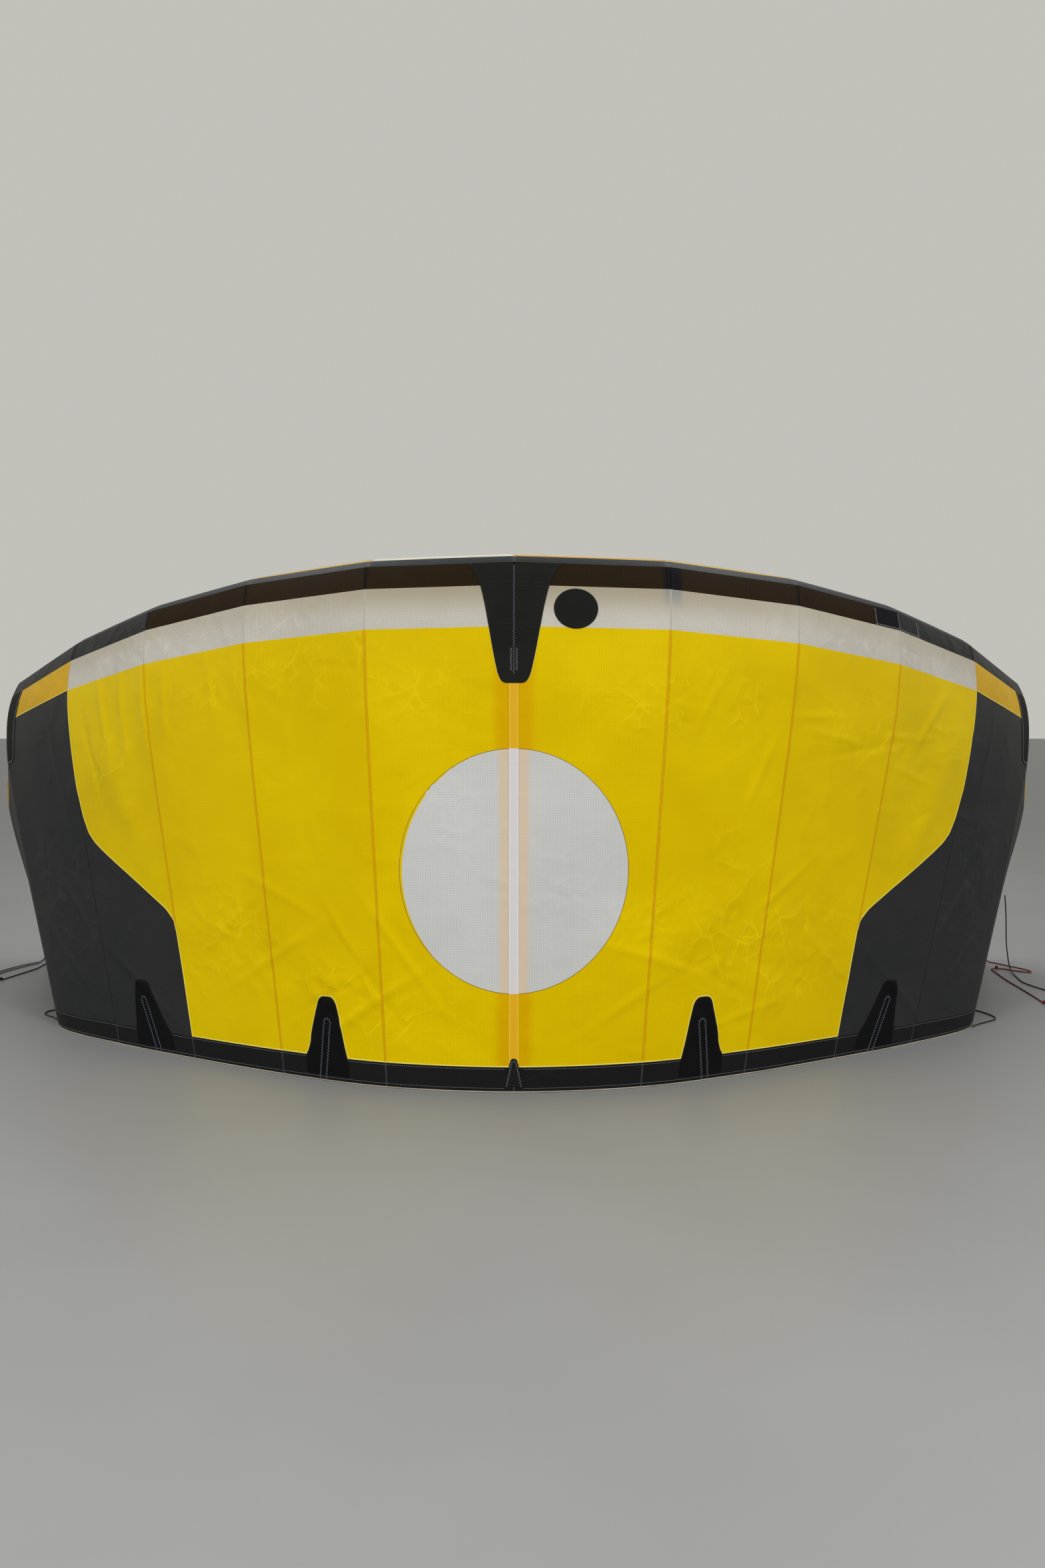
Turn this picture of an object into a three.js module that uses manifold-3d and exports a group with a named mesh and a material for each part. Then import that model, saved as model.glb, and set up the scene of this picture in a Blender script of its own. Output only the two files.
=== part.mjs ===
// Inflatable kitesurfing kite that stands on its trailing edge with the leading edge tube on top.
// Millimetres, +Z up. The convex side faces -Y, and the kite is mirrored about the plane X = 0.
// Places on the canopy are given as (across, height): across counts the seams outwards from the
// middle, with decimals between two seams, and height is the share of the chord from the trailing
// edge at 0 to the leading edge tube at 1.

import * as THREE from 'three';
import Module from 'manifold-3d';

const manifoldLib = await Module();
manifoldLib.setup();

// Driving dimensions.
const clothThickness = 1.5;
const patchThickness = 1.2;
const seamGap = 0.3;
const tubeClearance = 2.5;      // from the tube's skin to the middle of the canopy's cloth
const bulgePower = 8;           // the higher, the closer the bulge sits to the tube
const bulgeRise = 0.12;         // upward share of the bulge's direction
const tubeSides = 20;
const strutSides = 14;
const footDrop = 120;           // how far the tip of the tube is run on before it is cut at the floor

// A row per seam, from the middle (0) to the end of the wing tip (8). The struts lie on seams 0 and 5.
// edge: the trailing edge on the floor. tube: the middle of the leading edge tube. lean: how much
// nearer to the middle the tube lies on the left half, which has settled askew. attach: degrees round
// the tube to the cloth, from the chord line to the front. facing: degrees between -Y and the way the
// cloth bulges there. bulge: how far it does, as a share of the chord.
const seams = [
  { edge: [0, 0], tube: [0, 310, 1463], radius: 100, lean: 0, attach: 60, facing: 0, bulge: 0.085 },
  { edge: [368, 48], tube: [448, 380, 1458], radius: 98, lean: 24, attach: 60, facing: 4, bulge: 0.085 },
  { edge: [690, 175], tube: [865, 570, 1428], radius: 94, lean: 48, attach: 60, facing: 8, bulge: 0.085 },
  { edge: [1000, 335], tube: [1258, 820, 1368], radius: 88, lean: 54, attach: 60, facing: 14, bulge: 0.085 },
  { edge: [1295, 505], tube: [1612, 1100, 1278], radius: 80, lean: 52, attach: 60, facing: 24, bulge: 0.085 },
  { edge: [1565, 710], tube: [1920, 1420, 1157], radius: 72, lean: 16, attach: 60, facing: 40, bulge: 0.085 },
  { edge: [1645, 990], tube: [2045, 1630, 800], radius: 64, lean: 0, attach: 82, facing: 50, bulge: 0.04 },
  { edge: [1735, 1300], tube: [2035, 1750, 430], radius: 56, lean: 0, attach: 86, facing: 55, bulge: 0.04 },
  { edge: [1845, 1600], tube: [1930, 1755, 60], radius: 50, lean: 0, attach: 88, facing: 65, bulge: 0.07 },
];
const strutSeam = 5;
const tipSeam = seams.length - 1;

// Heights of the lines where one colour of cloth is sewn to the next.
const stripTop = 0.047;
const bandBottom = 0.866;
const bandTop = 0.95;

// Rows of the big panels, as shares of the height between stripTop and bandBottom.
const panelRows = [0, 0.1, 0.2, 0.3, 0.305, 0.36, 0.41, 0.455, 0.49, 0.54, 0.6, 0.69, 0.79, 0.9, 1];

// Heights at which the narrow strips above and below the big panels bend.
const stripHeights = [0, stripTop];
const bandHeights = [bandBottom, 0.908, bandTop];
const leadHeights = [bandTop, 0.975, 1];

// The curved line between the yellow cloth and the dark side panel, a row per height of panelRows.
const sideLine = [
  { row: 0, across: 3 },
  { row: 0.3, across: 3 },
  { row: 0.305, across: 3.03 },
  { row: 0.36, across: 3.25 },
  { row: 0.41, across: 3.44 },
  { row: 0.455, across: 3.62 },
  { row: 0.49, across: 3.77 },
  { row: 0.54, across: 3.92 },
  { row: 0.6, across: 3.97 },
  { row: 0.69, across: 4 },
  { row: 1, across: 4 },
];

// Soft folds that stand out of the cloth. turn: degrees from level, towards the wing tip and up.
const folds = [
  { across: -1.5, height: 0.2, turn: 38, reach: 260, width: 60, depth: 7 },
  { across: -0.75, height: 0.12, turn: 15, reach: 220, width: 60, depth: -5 },
  { across: -2.6, height: 0.3, turn: -20, reach: 240, width: 70, depth: 6 },
  { across: -3.5, height: 0.62, turn: 70, reach: 300, width: 60, depth: 6 },
  { across: -4.5, height: 0.5, turn: 84, reach: 420, width: 70, depth: 8 },
  { across: -2.2, height: 0.75, turn: 60, reach: 240, width: 60, depth: -5 },
  { across: 1.4, height: 0.3, turn: 30, reach: 280, width: 60, depth: 6 },
  { across: 2.4, height: 0.18, turn: -28, reach: 260, width: 60, depth: -6 },
  { across: 2.7, height: 0.72, turn: 20, reach: 260, width: 65, depth: 6 },
  { across: 3.6, height: 0.55, turn: 76, reach: 300, width: 60, depth: 6 },
  { across: 4.5, height: 0.45, turn: 82, reach: 420, width: 70, depth: 8 },
  { across: 0.6, height: 0.7, turn: 45, reach: 220, width: 60, depth: -5 },
];
const foldSpan = 410;           // mean width of a panel between two seams
const foldChord = 1500;

const discBottom = 0.182;
const discTop = 0.635;
const discHalfWidth = 332;

// Patches sewn on the convex side: a row per height, with the two edges it runs between.
const centrePatch = [
  { height: 0.76, from: -0.08, to: 0.08 },
  { height: 0.784, from: -0.118, to: 0.118 },
  { height: 0.82, from: -0.14, to: 0.14 },
  { height: 0.866, from: -0.165, to: 0.165 },
  { height: 0.908, from: -0.19, to: 0.19 },
  { height: 0.95, from: -0.22, to: 0.22 },
  { height: 0.975, from: -0.255, to: 0.255 },
  { height: 0.995, from: -0.3, to: 0.3 },
];
const innerBattenPatch = [
  { height: 0.012, from: 1.34, to: 1.75 },
  { height: 0.05, from: 1.34, to: 1.74 },
  { height: 0.09, from: 1.37, to: 1.68 },
  { height: 0.138, from: 1.41, to: 1.6 },
  { height: 0.155, from: 1.42, to: 1.57 },
  { height: 0.162, from: 1.45, to: 1.54 },
];
const outerBattenPatch = [
  { height: 0.012, from: 3.25, to: 3.71 },
  { height: 0.05, from: 3.26, to: 3.7 },
  { height: 0.09, from: 3.36, to: 3.67 },
  { height: 0.12, from: 3.41, to: 3.65 },
  { height: 0.145, from: 3.44, to: 3.63 },
  { height: 0.157, from: 3.48, to: 3.58 },
];
const hemPatch = [
  { height: 0.012, from: -0.07, to: 0.07 },
  { height: 0.04, from: -0.045, to: 0.045 },
  { height: 0.062, from: -0.02, to: 0.02 },
];
const strutStrip = [
  { height: 0.735, from: 4.93, to: 5.07 },
  { height: 0.75, from: 4.89, to: 5.11 },
  { height: 0.784, from: 4.87, to: 5.13 },
  { height: 0.866, from: 4.84, to: 5.16 },
  { height: 0.95, from: 4.81, to: 5.19 },
];
const roundPatch = { across: 0.39, height: 0.904, radius: 66 };

// Strut tubes behind the canopy: a row per height, with the tube's radius there.
const strutClearance = 3;
const strutRows = [
  { height: 0.035, radius: 26 },
  { height: 0.06, radius: 29 },
  { height: 0.15, radius: 31 },
  { height: 0.28, radius: 34 },
  { height: 0.42, radius: 37 },
  { height: 0.55, radius: 40 },
  { height: 0.66, radius: 42 },
  { height: 0.76, radius: 44 },
  { height: 0.84, radius: 45 },
];

// Lines: points along the middle of each line, from where it leaves the tube. The height of a point
// is the gap under the line.
const lineRadius = 2.5;
const lineSides = 8;
const pointsPerStep = 3;
const lines = {
  left_bridle_line: {
    color: 0x6d7076,
    steps: 56,
    points: [[-2007, 1791, 180], [-2020, 1801, 90], [-2060, 1786, 0], [-2118, 1696, 0], [-2166, 1560, 0],
      [-2190, 1478, 0], [-2178, 1440, 0], [-2154, 1468, 0], [-2138, 1556, 0], [-2098, 1676, 0],
      [-2060, 1748, 0], [-2034, 1782, 16], [-1990, 1794, 64]],
  },
  left_pigtail: {
    color: 0x16171a,
    steps: 34,
    points: [[-1952, 1812, 66], [-1966, 1823, 22], [-1996, 1806, 0], [-2020, 1742, 0], [-2024, 1640, 0],
      [-2050, 1540, 0], [-2081, 1429, 0]],
  },
  left_edge_loop: {
    color: 0x16171a,
    steps: 24,
    points: [[-1611, 800, 4], [-1640, 838, 0], [-1668, 862, 0], [-1691, 890, 0], [-1690, 926, 0],
      [-1668, 950, 0], [-1646, 964, 0]],
  },
  right_bridle_line: {
    color: 0x7c1f2b,
    steps: 78,
    points: [[1996, 1793, 130], [2008, 1801, 50], [2042, 1780, 0], [2096, 1696, 0],
      [2144, 1606, 0], [2136, 1572, 0], [2098, 1590, 0], [2044, 1640, 0], [2003, 1640, 0], [1990, 1560, 0],
      [1978, 1400, 0], [1976, 1300, 0], [1972, 1160, 0], [1966, 1040, 0]],
  },
  right_black_line: {
    color: 0x16171a,
    steps: 40,
    points: [[2082, 1722, 300], [2084, 1711, 220], [2070, 1660, 90], [2058, 1590, 14], [2045, 1500, 0],
      [2030, 1380, 0], [2060, 1255, 0], [2090, 1170, 0]],
  },
  right_edge_loop: {
    color: 0x16171a,
    steps: 24,
    points: [[1574, 705, 4], [1606, 742, 0], [1656, 780, 0], [1693, 811, 0], [1702, 846, 0],
      [1692, 892, 0], [1672, 936, 0], [1647, 966, 0]],
  },
};

// Finishes.
const paint = {
  tube: { color: 0xd9d8d2, roughness: 0.6 },
  darkTube: { color: 0x3a4150, roughness: 0.6 },
  strut: { color: 0xcfcdc6, roughness: 0.6 },
  yellow: { color: 0xd7c300, roughness: 0.45 },
  white: { color: 0xcfcdc8, roughness: 0.45 },
  side: { color: 0x2d2d2f, roughness: 0.5 },
  strip: { color: 0x1c1713, roughness: 0.5 },
  hem: { color: 0x0d0d0e, roughness: 0.6 },
  patch: { color: 0x121213, roughness: 0.7 },
};

// Shape of the canopy.
function lerp(a, b, share) {
  return a + (b - a) * share;
}

// The leading edge tube's axis and the two directions across it, at each seam, for one half.
function seamFrames(side) {
  const tubes = seams.map(({ tube: [x, y, z], lean }) => new THREE.Vector3(side < 0 ? x - lean : x, y, z));
  return seams.map((seam, index) => {
    const tube = tubes[index];
    const edge = new THREE.Vector3(...seam.edge, 0);
    const axis = tubes[Math.min(index + 1, tipSeam)].clone().sub(tubes[Math.max(index - 1, 0)]);
    if (index === 0) {
      axis.set(1, 0, 0);
    }
    axis.normalize();
    const chord = tube.clone().sub(edge);
    chord.addScaledVector(axis, -chord.dot(axis)).normalize();
    const front = new THREE.Vector3().crossVectors(axis, chord);
    const angle = THREE.MathUtils.degToRad(seam.attach);
    const attach = tube.clone()
      .addScaledVector(chord, (seam.radius + tubeClearance) * Math.cos(angle))
      .addScaledVector(front, (seam.radius + tubeClearance) * Math.sin(angle));
    const facing = THREE.MathUtils.degToRad(seam.facing);
    const outward = new THREE.Vector3(Math.sin(facing), -Math.cos(facing), bulgeRise).normalize();
    return { tube, edge, axis, chord, front, attach, outward, radius: seam.radius, bulge: seam.bulge };
  });
}

const leftFrames = seamFrames(-1);
const rightFrames = seamFrames(1);

function framesOf(side) {
  return side < 0 ? leftFrames : rightFrames;
}

// The trailing edge is a smooth curve through the seams' points on the floor.
const edgeCurve = new THREE.CatmullRomCurve3(
  [...seams.slice(1).reverse().map(({ edge: [x, y] }) => new THREE.Vector3(-x, y, 0)),
    ...seams.map(({ edge }) => new THREE.Vector3(...edge, 0))],
  false,
  'catmullrom',
);

function foldLift(across, height) {
  return folds.reduce((lift, fold) => {
    const sideways = (across - fold.across) * foldSpan * Math.sign(fold.across);
    const upwards = (height - fold.height) * foldChord;
    const turn = THREE.MathUtils.degToRad(fold.turn);
    const along = (sideways * Math.cos(turn) + upwards * Math.sin(turn)) / fold.reach;
    const aside = (upwards * Math.cos(turn) - sideways * Math.sin(turn)) / fold.width;
    return lift + fold.depth * Math.exp(-along * along - aside * aside);
  }, 0);
}

function canopyPoint(across, height) {
  const side = across < 0 ? -1 : 1;
  const reach = Math.min(Math.abs(across), tipSeam);
  const index = Math.min(Math.floor(reach), tipSeam - 1);
  const share = reach - index;
  const frames = framesOf(side);
  const edge = edgeCurve.getPoint((tipSeam + reach) / (2 * tipSeam));
  const attach = frames[index].attach.clone().lerp(frames[index + 1].attach, share);
  const outward = frames[index].outward.clone().lerp(frames[index + 1].outward, share).normalize();
  const chord = attach.distanceTo(edge);
  const bulge = lerp(frames[index].bulge, frames[index + 1].bulge, share);
  const stand = bulge * chord * (height - height ** bulgePower);
  const settle = Math.sin(Math.PI * Math.min(Math.max(height, 0), 1));
  const point = edge.lerp(attach, height).addScaledVector(outward, stand + foldLift(across, height) * settle);
  point.x *= side;
  return point;
}

function canopyNormal(across, height) {
  const small = 0.002;
  const low = Math.max(height - small, 0);
  const high = Math.min(height + small, 1);
  const sideways = canopyPoint(across + small, height).sub(canopyPoint(across - small, height));
  const upwards = canopyPoint(across, high).sub(canopyPoint(across, low));
  return sideways.cross(upwards).normalize();
}

// Solids.
function toManifold(geometry) {
  return new manifoldLib.Manifold(new manifoldLib.Mesh({
    numProp: 3,
    vertProperties: new Float32Array(geometry.attributes.position.array),
    triVerts: new Uint32Array(geometry.index.array),
  }));
}

function fromManifold(manifold) {
  const mesh = manifold.getMesh();
  const geometry = new THREE.BufferGeometry();
  geometry.setAttribute('position', new THREE.BufferAttribute(new Float32Array(mesh.vertProperties), 3));
  geometry.setIndex(new THREE.BufferAttribute(new Uint32Array(mesh.triVerts), 1));
  return geometry;
}

// A closed solid from points and triangles, with its faces turned outwards.
function closedSolid(points, triangles) {
  const volume = triangles.reduce((sum, [a, b, c]) => {
    return sum + points[a].dot(points[b].clone().cross(points[c]));
  }, 0);
  const turned = volume < 0 ? triangles.map(([a, b, c]) => [a, c, b]) : triangles;
  const geometry = new THREE.BufferGeometry();
  geometry.setAttribute('position', new THREE.Float32BufferAttribute(points.flatMap((p) => p.toArray()), 3));
  geometry.setIndex(turned.flat());
  return geometry;
}

// Thickens a grid of { point, normal } into a sheet of cloth.
function sheetSolid(grid, thickness, lift) {
  const rows = grid.length;
  const columns = grid[0].length;
  const points = [];
  for (const shift of [lift + thickness / 2, lift - thickness / 2]) {
    for (const row of grid) {
      for (const { point, normal, grounded } of row) {
        const moved = point.clone().addScaledVector(normal, shift);
        moved.z = grounded ? 0 : moved.z;
        points.push(moved);
      }
    }
  }
  const at = (face, row, column) => (face * rows + row) * columns + column;
  const triangles = [];
  for (let row = 0; row < rows - 1; row += 1) {
    for (let column = 0; column < columns - 1; column += 1) {
      for (const face of [0, 1]) {
        const [a, b] = [at(face, row, column), at(face, row, column + 1)];
        const [c, d] = [at(face, row + 1, column + 1), at(face, row + 1, column)];
        triangles.push(...(face ? [[a, c, b], [a, d, c]] : [[a, b, c], [a, c, d]]));
      }
    }
  }
  const rim = [];
  for (let column = 0; column < columns - 1; column += 1) {
    rim.push([0, column]);
  }
  for (let row = 0; row < rows - 1; row += 1) {
    rim.push([row, columns - 1]);
  }
  for (let column = columns - 1; column > 0; column -= 1) {
    rim.push([rows - 1, column]);
  }
  for (let row = rows - 1; row > 0; row -= 1) {
    rim.push([row, 0]);
  }
  rim.forEach(([row, column], index) => {
    const [nextRow, nextColumn] = rim[(index + 1) % rim.length];
    const [a, b] = [at(0, row, column), at(0, nextRow, nextColumn)];
    const [c, d] = [at(1, nextRow, nextColumn), at(1, row, column)];
    triangles.push([a, c, b], [a, d, c]);
  });
  return closedSolid(points, triangles);
}

// Draws the border of a grid in by half the seam gap, so that neighbours don't touch.
function drawIn(grid) {
  const rows = grid.length;
  const columns = grid[0].length;
  const inset = (outer, inner) => {
    const way = inner.point.clone().sub(outer.point).normalize();
    return outer.point.clone().addScaledVector(way, seamGap / 2);
  };
  const move = (cells) => {
    const moved = cells.map(([outer, inner]) => inset(outer, inner));
    cells.forEach(([outer], index) => {
      outer.point = moved[index];
    });
  };
  move(grid.map((row) => [row[0], row[1]]));
  move(grid.map((row) => [row[columns - 1], row[columns - 2]]));
  move(grid[0].map((cell, column) => [cell, grid[1][column]]));
  move(grid[rows - 1].map((cell, column) => [cell, grid[rows - 2][column]]));
  return grid;
}

// A piece of canopy between rows of { height, from, to }.
function clothGrid(rows, columns) {
  return rows.map(({ height, from, to }) => {
    const row = [];
    for (let column = 0; column <= columns; column += 1) {
      const across = lerp(from, to, column / columns);
      row.push({
        point: canopyPoint(across, height),
        normal: canopyNormal(across, height),
        grounded: height === 0,
      });
    }
    return row;
  });
}

function canopyPiece(side, rows, columns) {
  const sided = rows.map(({ height, from, to }) => ({ height, from: side * from, to: side * to }));
  return sheetSolid(drawIn(clothGrid(sided, columns)), clothThickness, 0);
}

// A patch bends at the same heights as the canopy under it.
function bentRows(rows) {
  const [low, high] = [rows[0].height, rows[rows.length - 1].height];
  const bends = [stripTop, ...panelRows.map(panelHeight), ...bandHeights, ...leadHeights]
    .filter((height) => height > low + 0.004 && height < high - 0.004)
    .filter((height) => rows.every((row) => Math.abs(row.height - height) > 0.004));
  const added = bends.filter((height, index) => bends.indexOf(height) === index).map((height) => {
    const next = rows.findIndex((row) => row.height > height);
    const [a, b] = [rows[next - 1], rows[next]];
    const share = (height - a.height) / (b.height - a.height);
    return { height, from: lerp(a.from, b.from, share), to: lerp(a.to, b.to, share) };
  });
  return [...rows, ...added].sort((a, b) => a.height - b.height);
}

function patchPiece(side, rows, columns) {
  const sided = bentRows(rows).map(({ height, from, to }) => ({ height, from: side * from, to: side * to }));
  const lift = clothThickness / 2 + seamGap + patchThickness / 2;
  return sheetSolid(clothGrid(sided, columns), patchThickness, lift);
}

function panelHeight(row) {
  return lerp(stripTop, bandBottom, row);
}

function sideLineAt(row) {
  const index = sideLine.findIndex((entry) => entry.row >= row - 1e-9);
  const upper = sideLine[index];
  const lower = sideLine[Math.max(index - 1, 0)];
  return upper.row === lower.row ? upper.across : lerp(lower.across, upper.across,
    (row - lower.row) / (upper.row - lower.row));
}

function panelStrip(fromAt, toAt, firstRow = 0) {
  return panelRows.filter((row) => row >= firstRow).map((row) => ({
    height: panelHeight(row),
    from: fromAt(row),
    to: toAt(row),
  }));
}

function levelStrip(heights, from, to) {
  return heights.map((height) => ({ height, from, to }));
}

// A tube or line skinned over rings of points, closed with a cap at each end.
function skinnedTube(rings) {
  const sides = rings[0].length;
  const points = rings.flat();
  const triangles = [];
  for (let ring = 0; ring < rings.length - 1; ring += 1) {
    for (let step = 0; step < sides; step += 1) {
      const [a, b] = [ring * sides + step, ring * sides + (step + 1) % sides];
      triangles.push([a, b, b + sides], [a, b + sides, a + sides]);
    }
  }
  const lastRing = (rings.length - 1) * sides;
  for (let step = 1; step < sides - 1; step += 1) {
    triangles.push([0, step + 1, step], [lastRing, lastRing + step, lastRing + step + 1]);
  }
  return closedSolid(points, triangles);
}

function ringAround(middle, first, second, radius, sides) {
  return Array.from({ length: sides }, (unused, step) => {
    const angle = (step / sides) * 2 * Math.PI;
    return middle.clone()
      .addScaledVector(first, radius * Math.cos(angle))
      .addScaledVector(second, radius * Math.sin(angle));
  });
}

function tubeRing(side, index, shift, growth = 0) {
  const frame = framesOf(side)[index];
  const middle = frame.tube.clone().addScaledVector(frame.axis, shift);
  const ring = ringAround(middle, frame.chord, frame.front, frame.radius + growth, tubeSides);
  return ring.map((point) => new THREE.Vector3(point.x * side, point.y, point.z));
}

function floorCutter() {
  const size = 6000;
  const corners = [];
  for (const x of [-1, 1]) {
    for (const y of [-1, 1]) {
      for (const z of [-1, 1]) {
        corners.push(new THREE.Vector3(x * size / 2, y * size / 2, z * size / 2 - size / 2));
      }
    }
  }
  return toManifold(closedSolid(corners, [
    [0, 1, 3], [0, 3, 2], [4, 6, 7], [4, 7, 5], [0, 4, 5], [0, 5, 1],
    [2, 3, 7], [2, 7, 6], [0, 2, 6], [0, 6, 4], [1, 5, 7], [1, 7, 3],
  ]));
}

function tubeSegment(side, index) {
  return skinnedTube([tubeRing(side, index, seamGap / 2), tubeRing(side, index + 1, -seamGap / 2)]);
}

// The wing tip's length of tube bends down to the floor and ends there on a flat foot.
function tubeTip(side) {
  const rings = [tubeRing(side, strutSeam, seamGap / 2)];
  for (let index = strutSeam + 1; index <= tipSeam; index += 1) {
    rings.push(tubeRing(side, index, 0));
  }
  rings.push(tubeRing(side, tipSeam, footDrop));
  return fromManifold(toManifold(skinnedTube(rings)).subtract(floorCutter()));
}

function wholeTube(side, growth) {
  return skinnedTube(seams.map((seam, index) => tubeRing(side, index, 0, growth)));
}

// A strut follows the canopy's concave side and butts against the leading edge tube.
function strutTube(across) {
  const rings = strutRows.map(({ height, radius }) => {
    const normal = canopyNormal(across, height);
    const middle = canopyPoint(across, height)
      .addScaledVector(normal, -(radius + strutClearance));
    const ahead = canopyPoint(across, height + 0.01).sub(canopyPoint(across, height - 0.01)).normalize();
    const aside = new THREE.Vector3().crossVectors(ahead, normal).normalize();
    return ringAround(middle, normal, aside, radius, strutSides);
  });
  const side = Math.sign(across);
  const target = framesOf(side)[Math.abs(across)].tube.clone();
  target.x *= side;
  const last = strutRows[strutRows.length - 1];
  const normal = canopyNormal(across, last.height);
  const start = canopyPoint(across, last.height)
    .addScaledVector(normal, -(last.radius + strutClearance));
  const ahead = target.clone().sub(start).normalize();
  const first = normal.clone().addScaledVector(ahead, -normal.dot(ahead)).normalize();
  const second = new THREE.Vector3().crossVectors(ahead, first);
  rings.push(ringAround(target, first, second, last.radius, strutSides));
  const solid = toManifold(skinnedTube(rings));
  const sides = side === 0 ? [1, -1] : [side];
  return fromManifold(sides.reduce((left, one) => {
    return left.subtract(toManifold(wholeTube(one, seamGap)));
  }, solid));
}

// The outline of the round centre piece, pushed through the canopy along Y.
function discCutter(growth) {
  const low = canopyPoint(0, discBottom).z;
  const high = canopyPoint(0, discTop).z;
  const outline = new THREE.Shape();
  outline.absellipse(0, (low + high) / 2, discHalfWidth + growth, (high - low) / 2 + growth, 0, 2 * Math.PI);
  const prism = new THREE.ExtrudeGeometry(outline, { depth: 800, bevelEnabled: false, curveSegments: 20 });
  prism.rotateX(Math.PI / 2);
  prism.translate(0, 600, 0);
  return toManifold(weld(prism));
}

// Joins the corners that an extrusion leaves apart.
function weld(geometry) {
  const position = geometry.attributes.position;
  const known = new Map();
  const points = [];
  const order = [];
  for (let index = 0; index < position.count; index += 1) {
    const point = new THREE.Vector3().fromBufferAttribute(position, index);
    const key = point.toArray().map((value) => Math.round(value * 1000)).join();
    if (!known.has(key)) {
      known.set(key, points.length);
      points.push(point);
    }
    order.push(known.get(key));
  }
  const source = geometry.index ? Array.from(geometry.index.array, (index) => order[index]) : order;
  const triangles = [];
  for (let index = 0; index < source.length; index += 3) {
    triangles.push(source.slice(index, index + 3));
  }
  return closedSolid(points, triangles);
}

function centreDisc() {
  const rows = panelStrip(() => -1, () => 1);
  const sheet = sheetSolid(clothGrid(rows, 8), clothThickness, 0);
  return fromManifold(toManifold(sheet).intersect(discCutter(-seamGap / 2)));
}

function innerPanel(side) {
  const sheet = canopyPiece(side, panelStrip(() => 0, () => 1), 4);
  return fromManifold(toManifold(sheet).subtract(discCutter(seamGap / 2)));
}

// A round patch in rings about its middle.
function roundPatchPiece() {
  const spokes = 20;
  const small = 0.01;
  const middle = canopyPoint(roundPatch.across, roundPatch.height);
  const spanScale = canopyPoint(roundPatch.across + small, roundPatch.height).distanceTo(middle) / small;
  const riseScale = canopyPoint(roundPatch.across, roundPatch.height + small).distanceTo(middle) / small;
  const lift = clothThickness / 2 + seamGap + patchThickness / 2;
  const points = [];
  const place = (ring, spoke, shift) => {
    const angle = (spoke / spokes) * 2 * Math.PI;
    const across = roundPatch.across + ring * roundPatch.radius * Math.cos(angle) / spanScale;
    const height = roundPatch.height + ring * roundPatch.radius * Math.sin(angle) / riseScale;
    points.push(canopyPoint(across, height).addScaledVector(canopyNormal(across, height), shift));
  };
  const rings = [0.5, 1];
  for (const shift of [lift + patchThickness / 2, lift - patchThickness / 2]) {
    place(0, 0, shift);
    for (const ring of rings) {
      for (let spoke = 0; spoke < spokes; spoke += 1) {
        place(ring, spoke, shift);
      }
    }
  }
  const layer = 1 + rings.length * spokes;
  const at = (face, ring, spoke) => face * layer + 1 + ring * spokes + (spoke % spokes);
  const triangles = [];
  for (const face of [0, 1]) {
    const add = (a, b, c) => triangles.push(face ? [a, c, b] : [a, b, c]);
    for (let spoke = 0; spoke < spokes; spoke += 1) {
      add(face * layer, at(face, 0, spoke), at(face, 0, spoke + 1));
      add(at(face, 0, spoke), at(face, 1, spoke), at(face, 1, spoke + 1));
      add(at(face, 0, spoke), at(face, 1, spoke + 1), at(face, 0, spoke + 1));
    }
  }
  for (let spoke = 0; spoke < spokes; spoke += 1) {
    const [a, b] = [at(0, 1, spoke), at(0, 1, spoke + 1)];
    const [c, d] = [at(1, 1, spoke + 1), at(1, 1, spoke)];
    triangles.push([a, d, c], [a, c, b]);
  }
  return closedSolid(points, triangles);
}

function lineSolid({ points, steps }) {
  const lowest = lineRadius + seamGap;
  const smooth = (places) => new THREE.CatmullRomCurve3(places, false, 'centripetal');
  const grounded = (places) => places.map(({ x, y, z }) => new THREE.Vector3(x, y, Math.max(z, lowest)));
  const rough = smooth(points.map(([x, y, gap]) => new THREE.Vector3(x, y, gap + lowest)));
  const settled = smooth(grounded(rough.getSpacedPoints(steps)));
  const route = smooth(grounded(settled.getPoints(pointsPerStep * steps)));
  const section = new THREE.Shape();
  for (let step = 0; step < lineSides; step += 1) {
    const angle = (step / lineSides) * 2 * Math.PI;
    const [x, y] = [lineRadius * Math.cos(angle), lineRadius * Math.sin(angle)];
    if (step === 0) {
      section.moveTo(x, y);
    } else {
      section.lineTo(x, y);
    }
  }
  section.closePath();
  return weld(new THREE.ExtrudeGeometry(section, { steps, extrudePath: route, bevelEnabled: false }));
}

// The kite.
function addTo(group, name, geometry, { color, roughness = 0.5 }) {
  const material = new THREE.MeshStandardMaterial({ color, roughness, metalness: 0 });
  const mesh = new THREE.Mesh(geometry, material);
  mesh.name = name;
  group.add(mesh);
}

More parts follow.
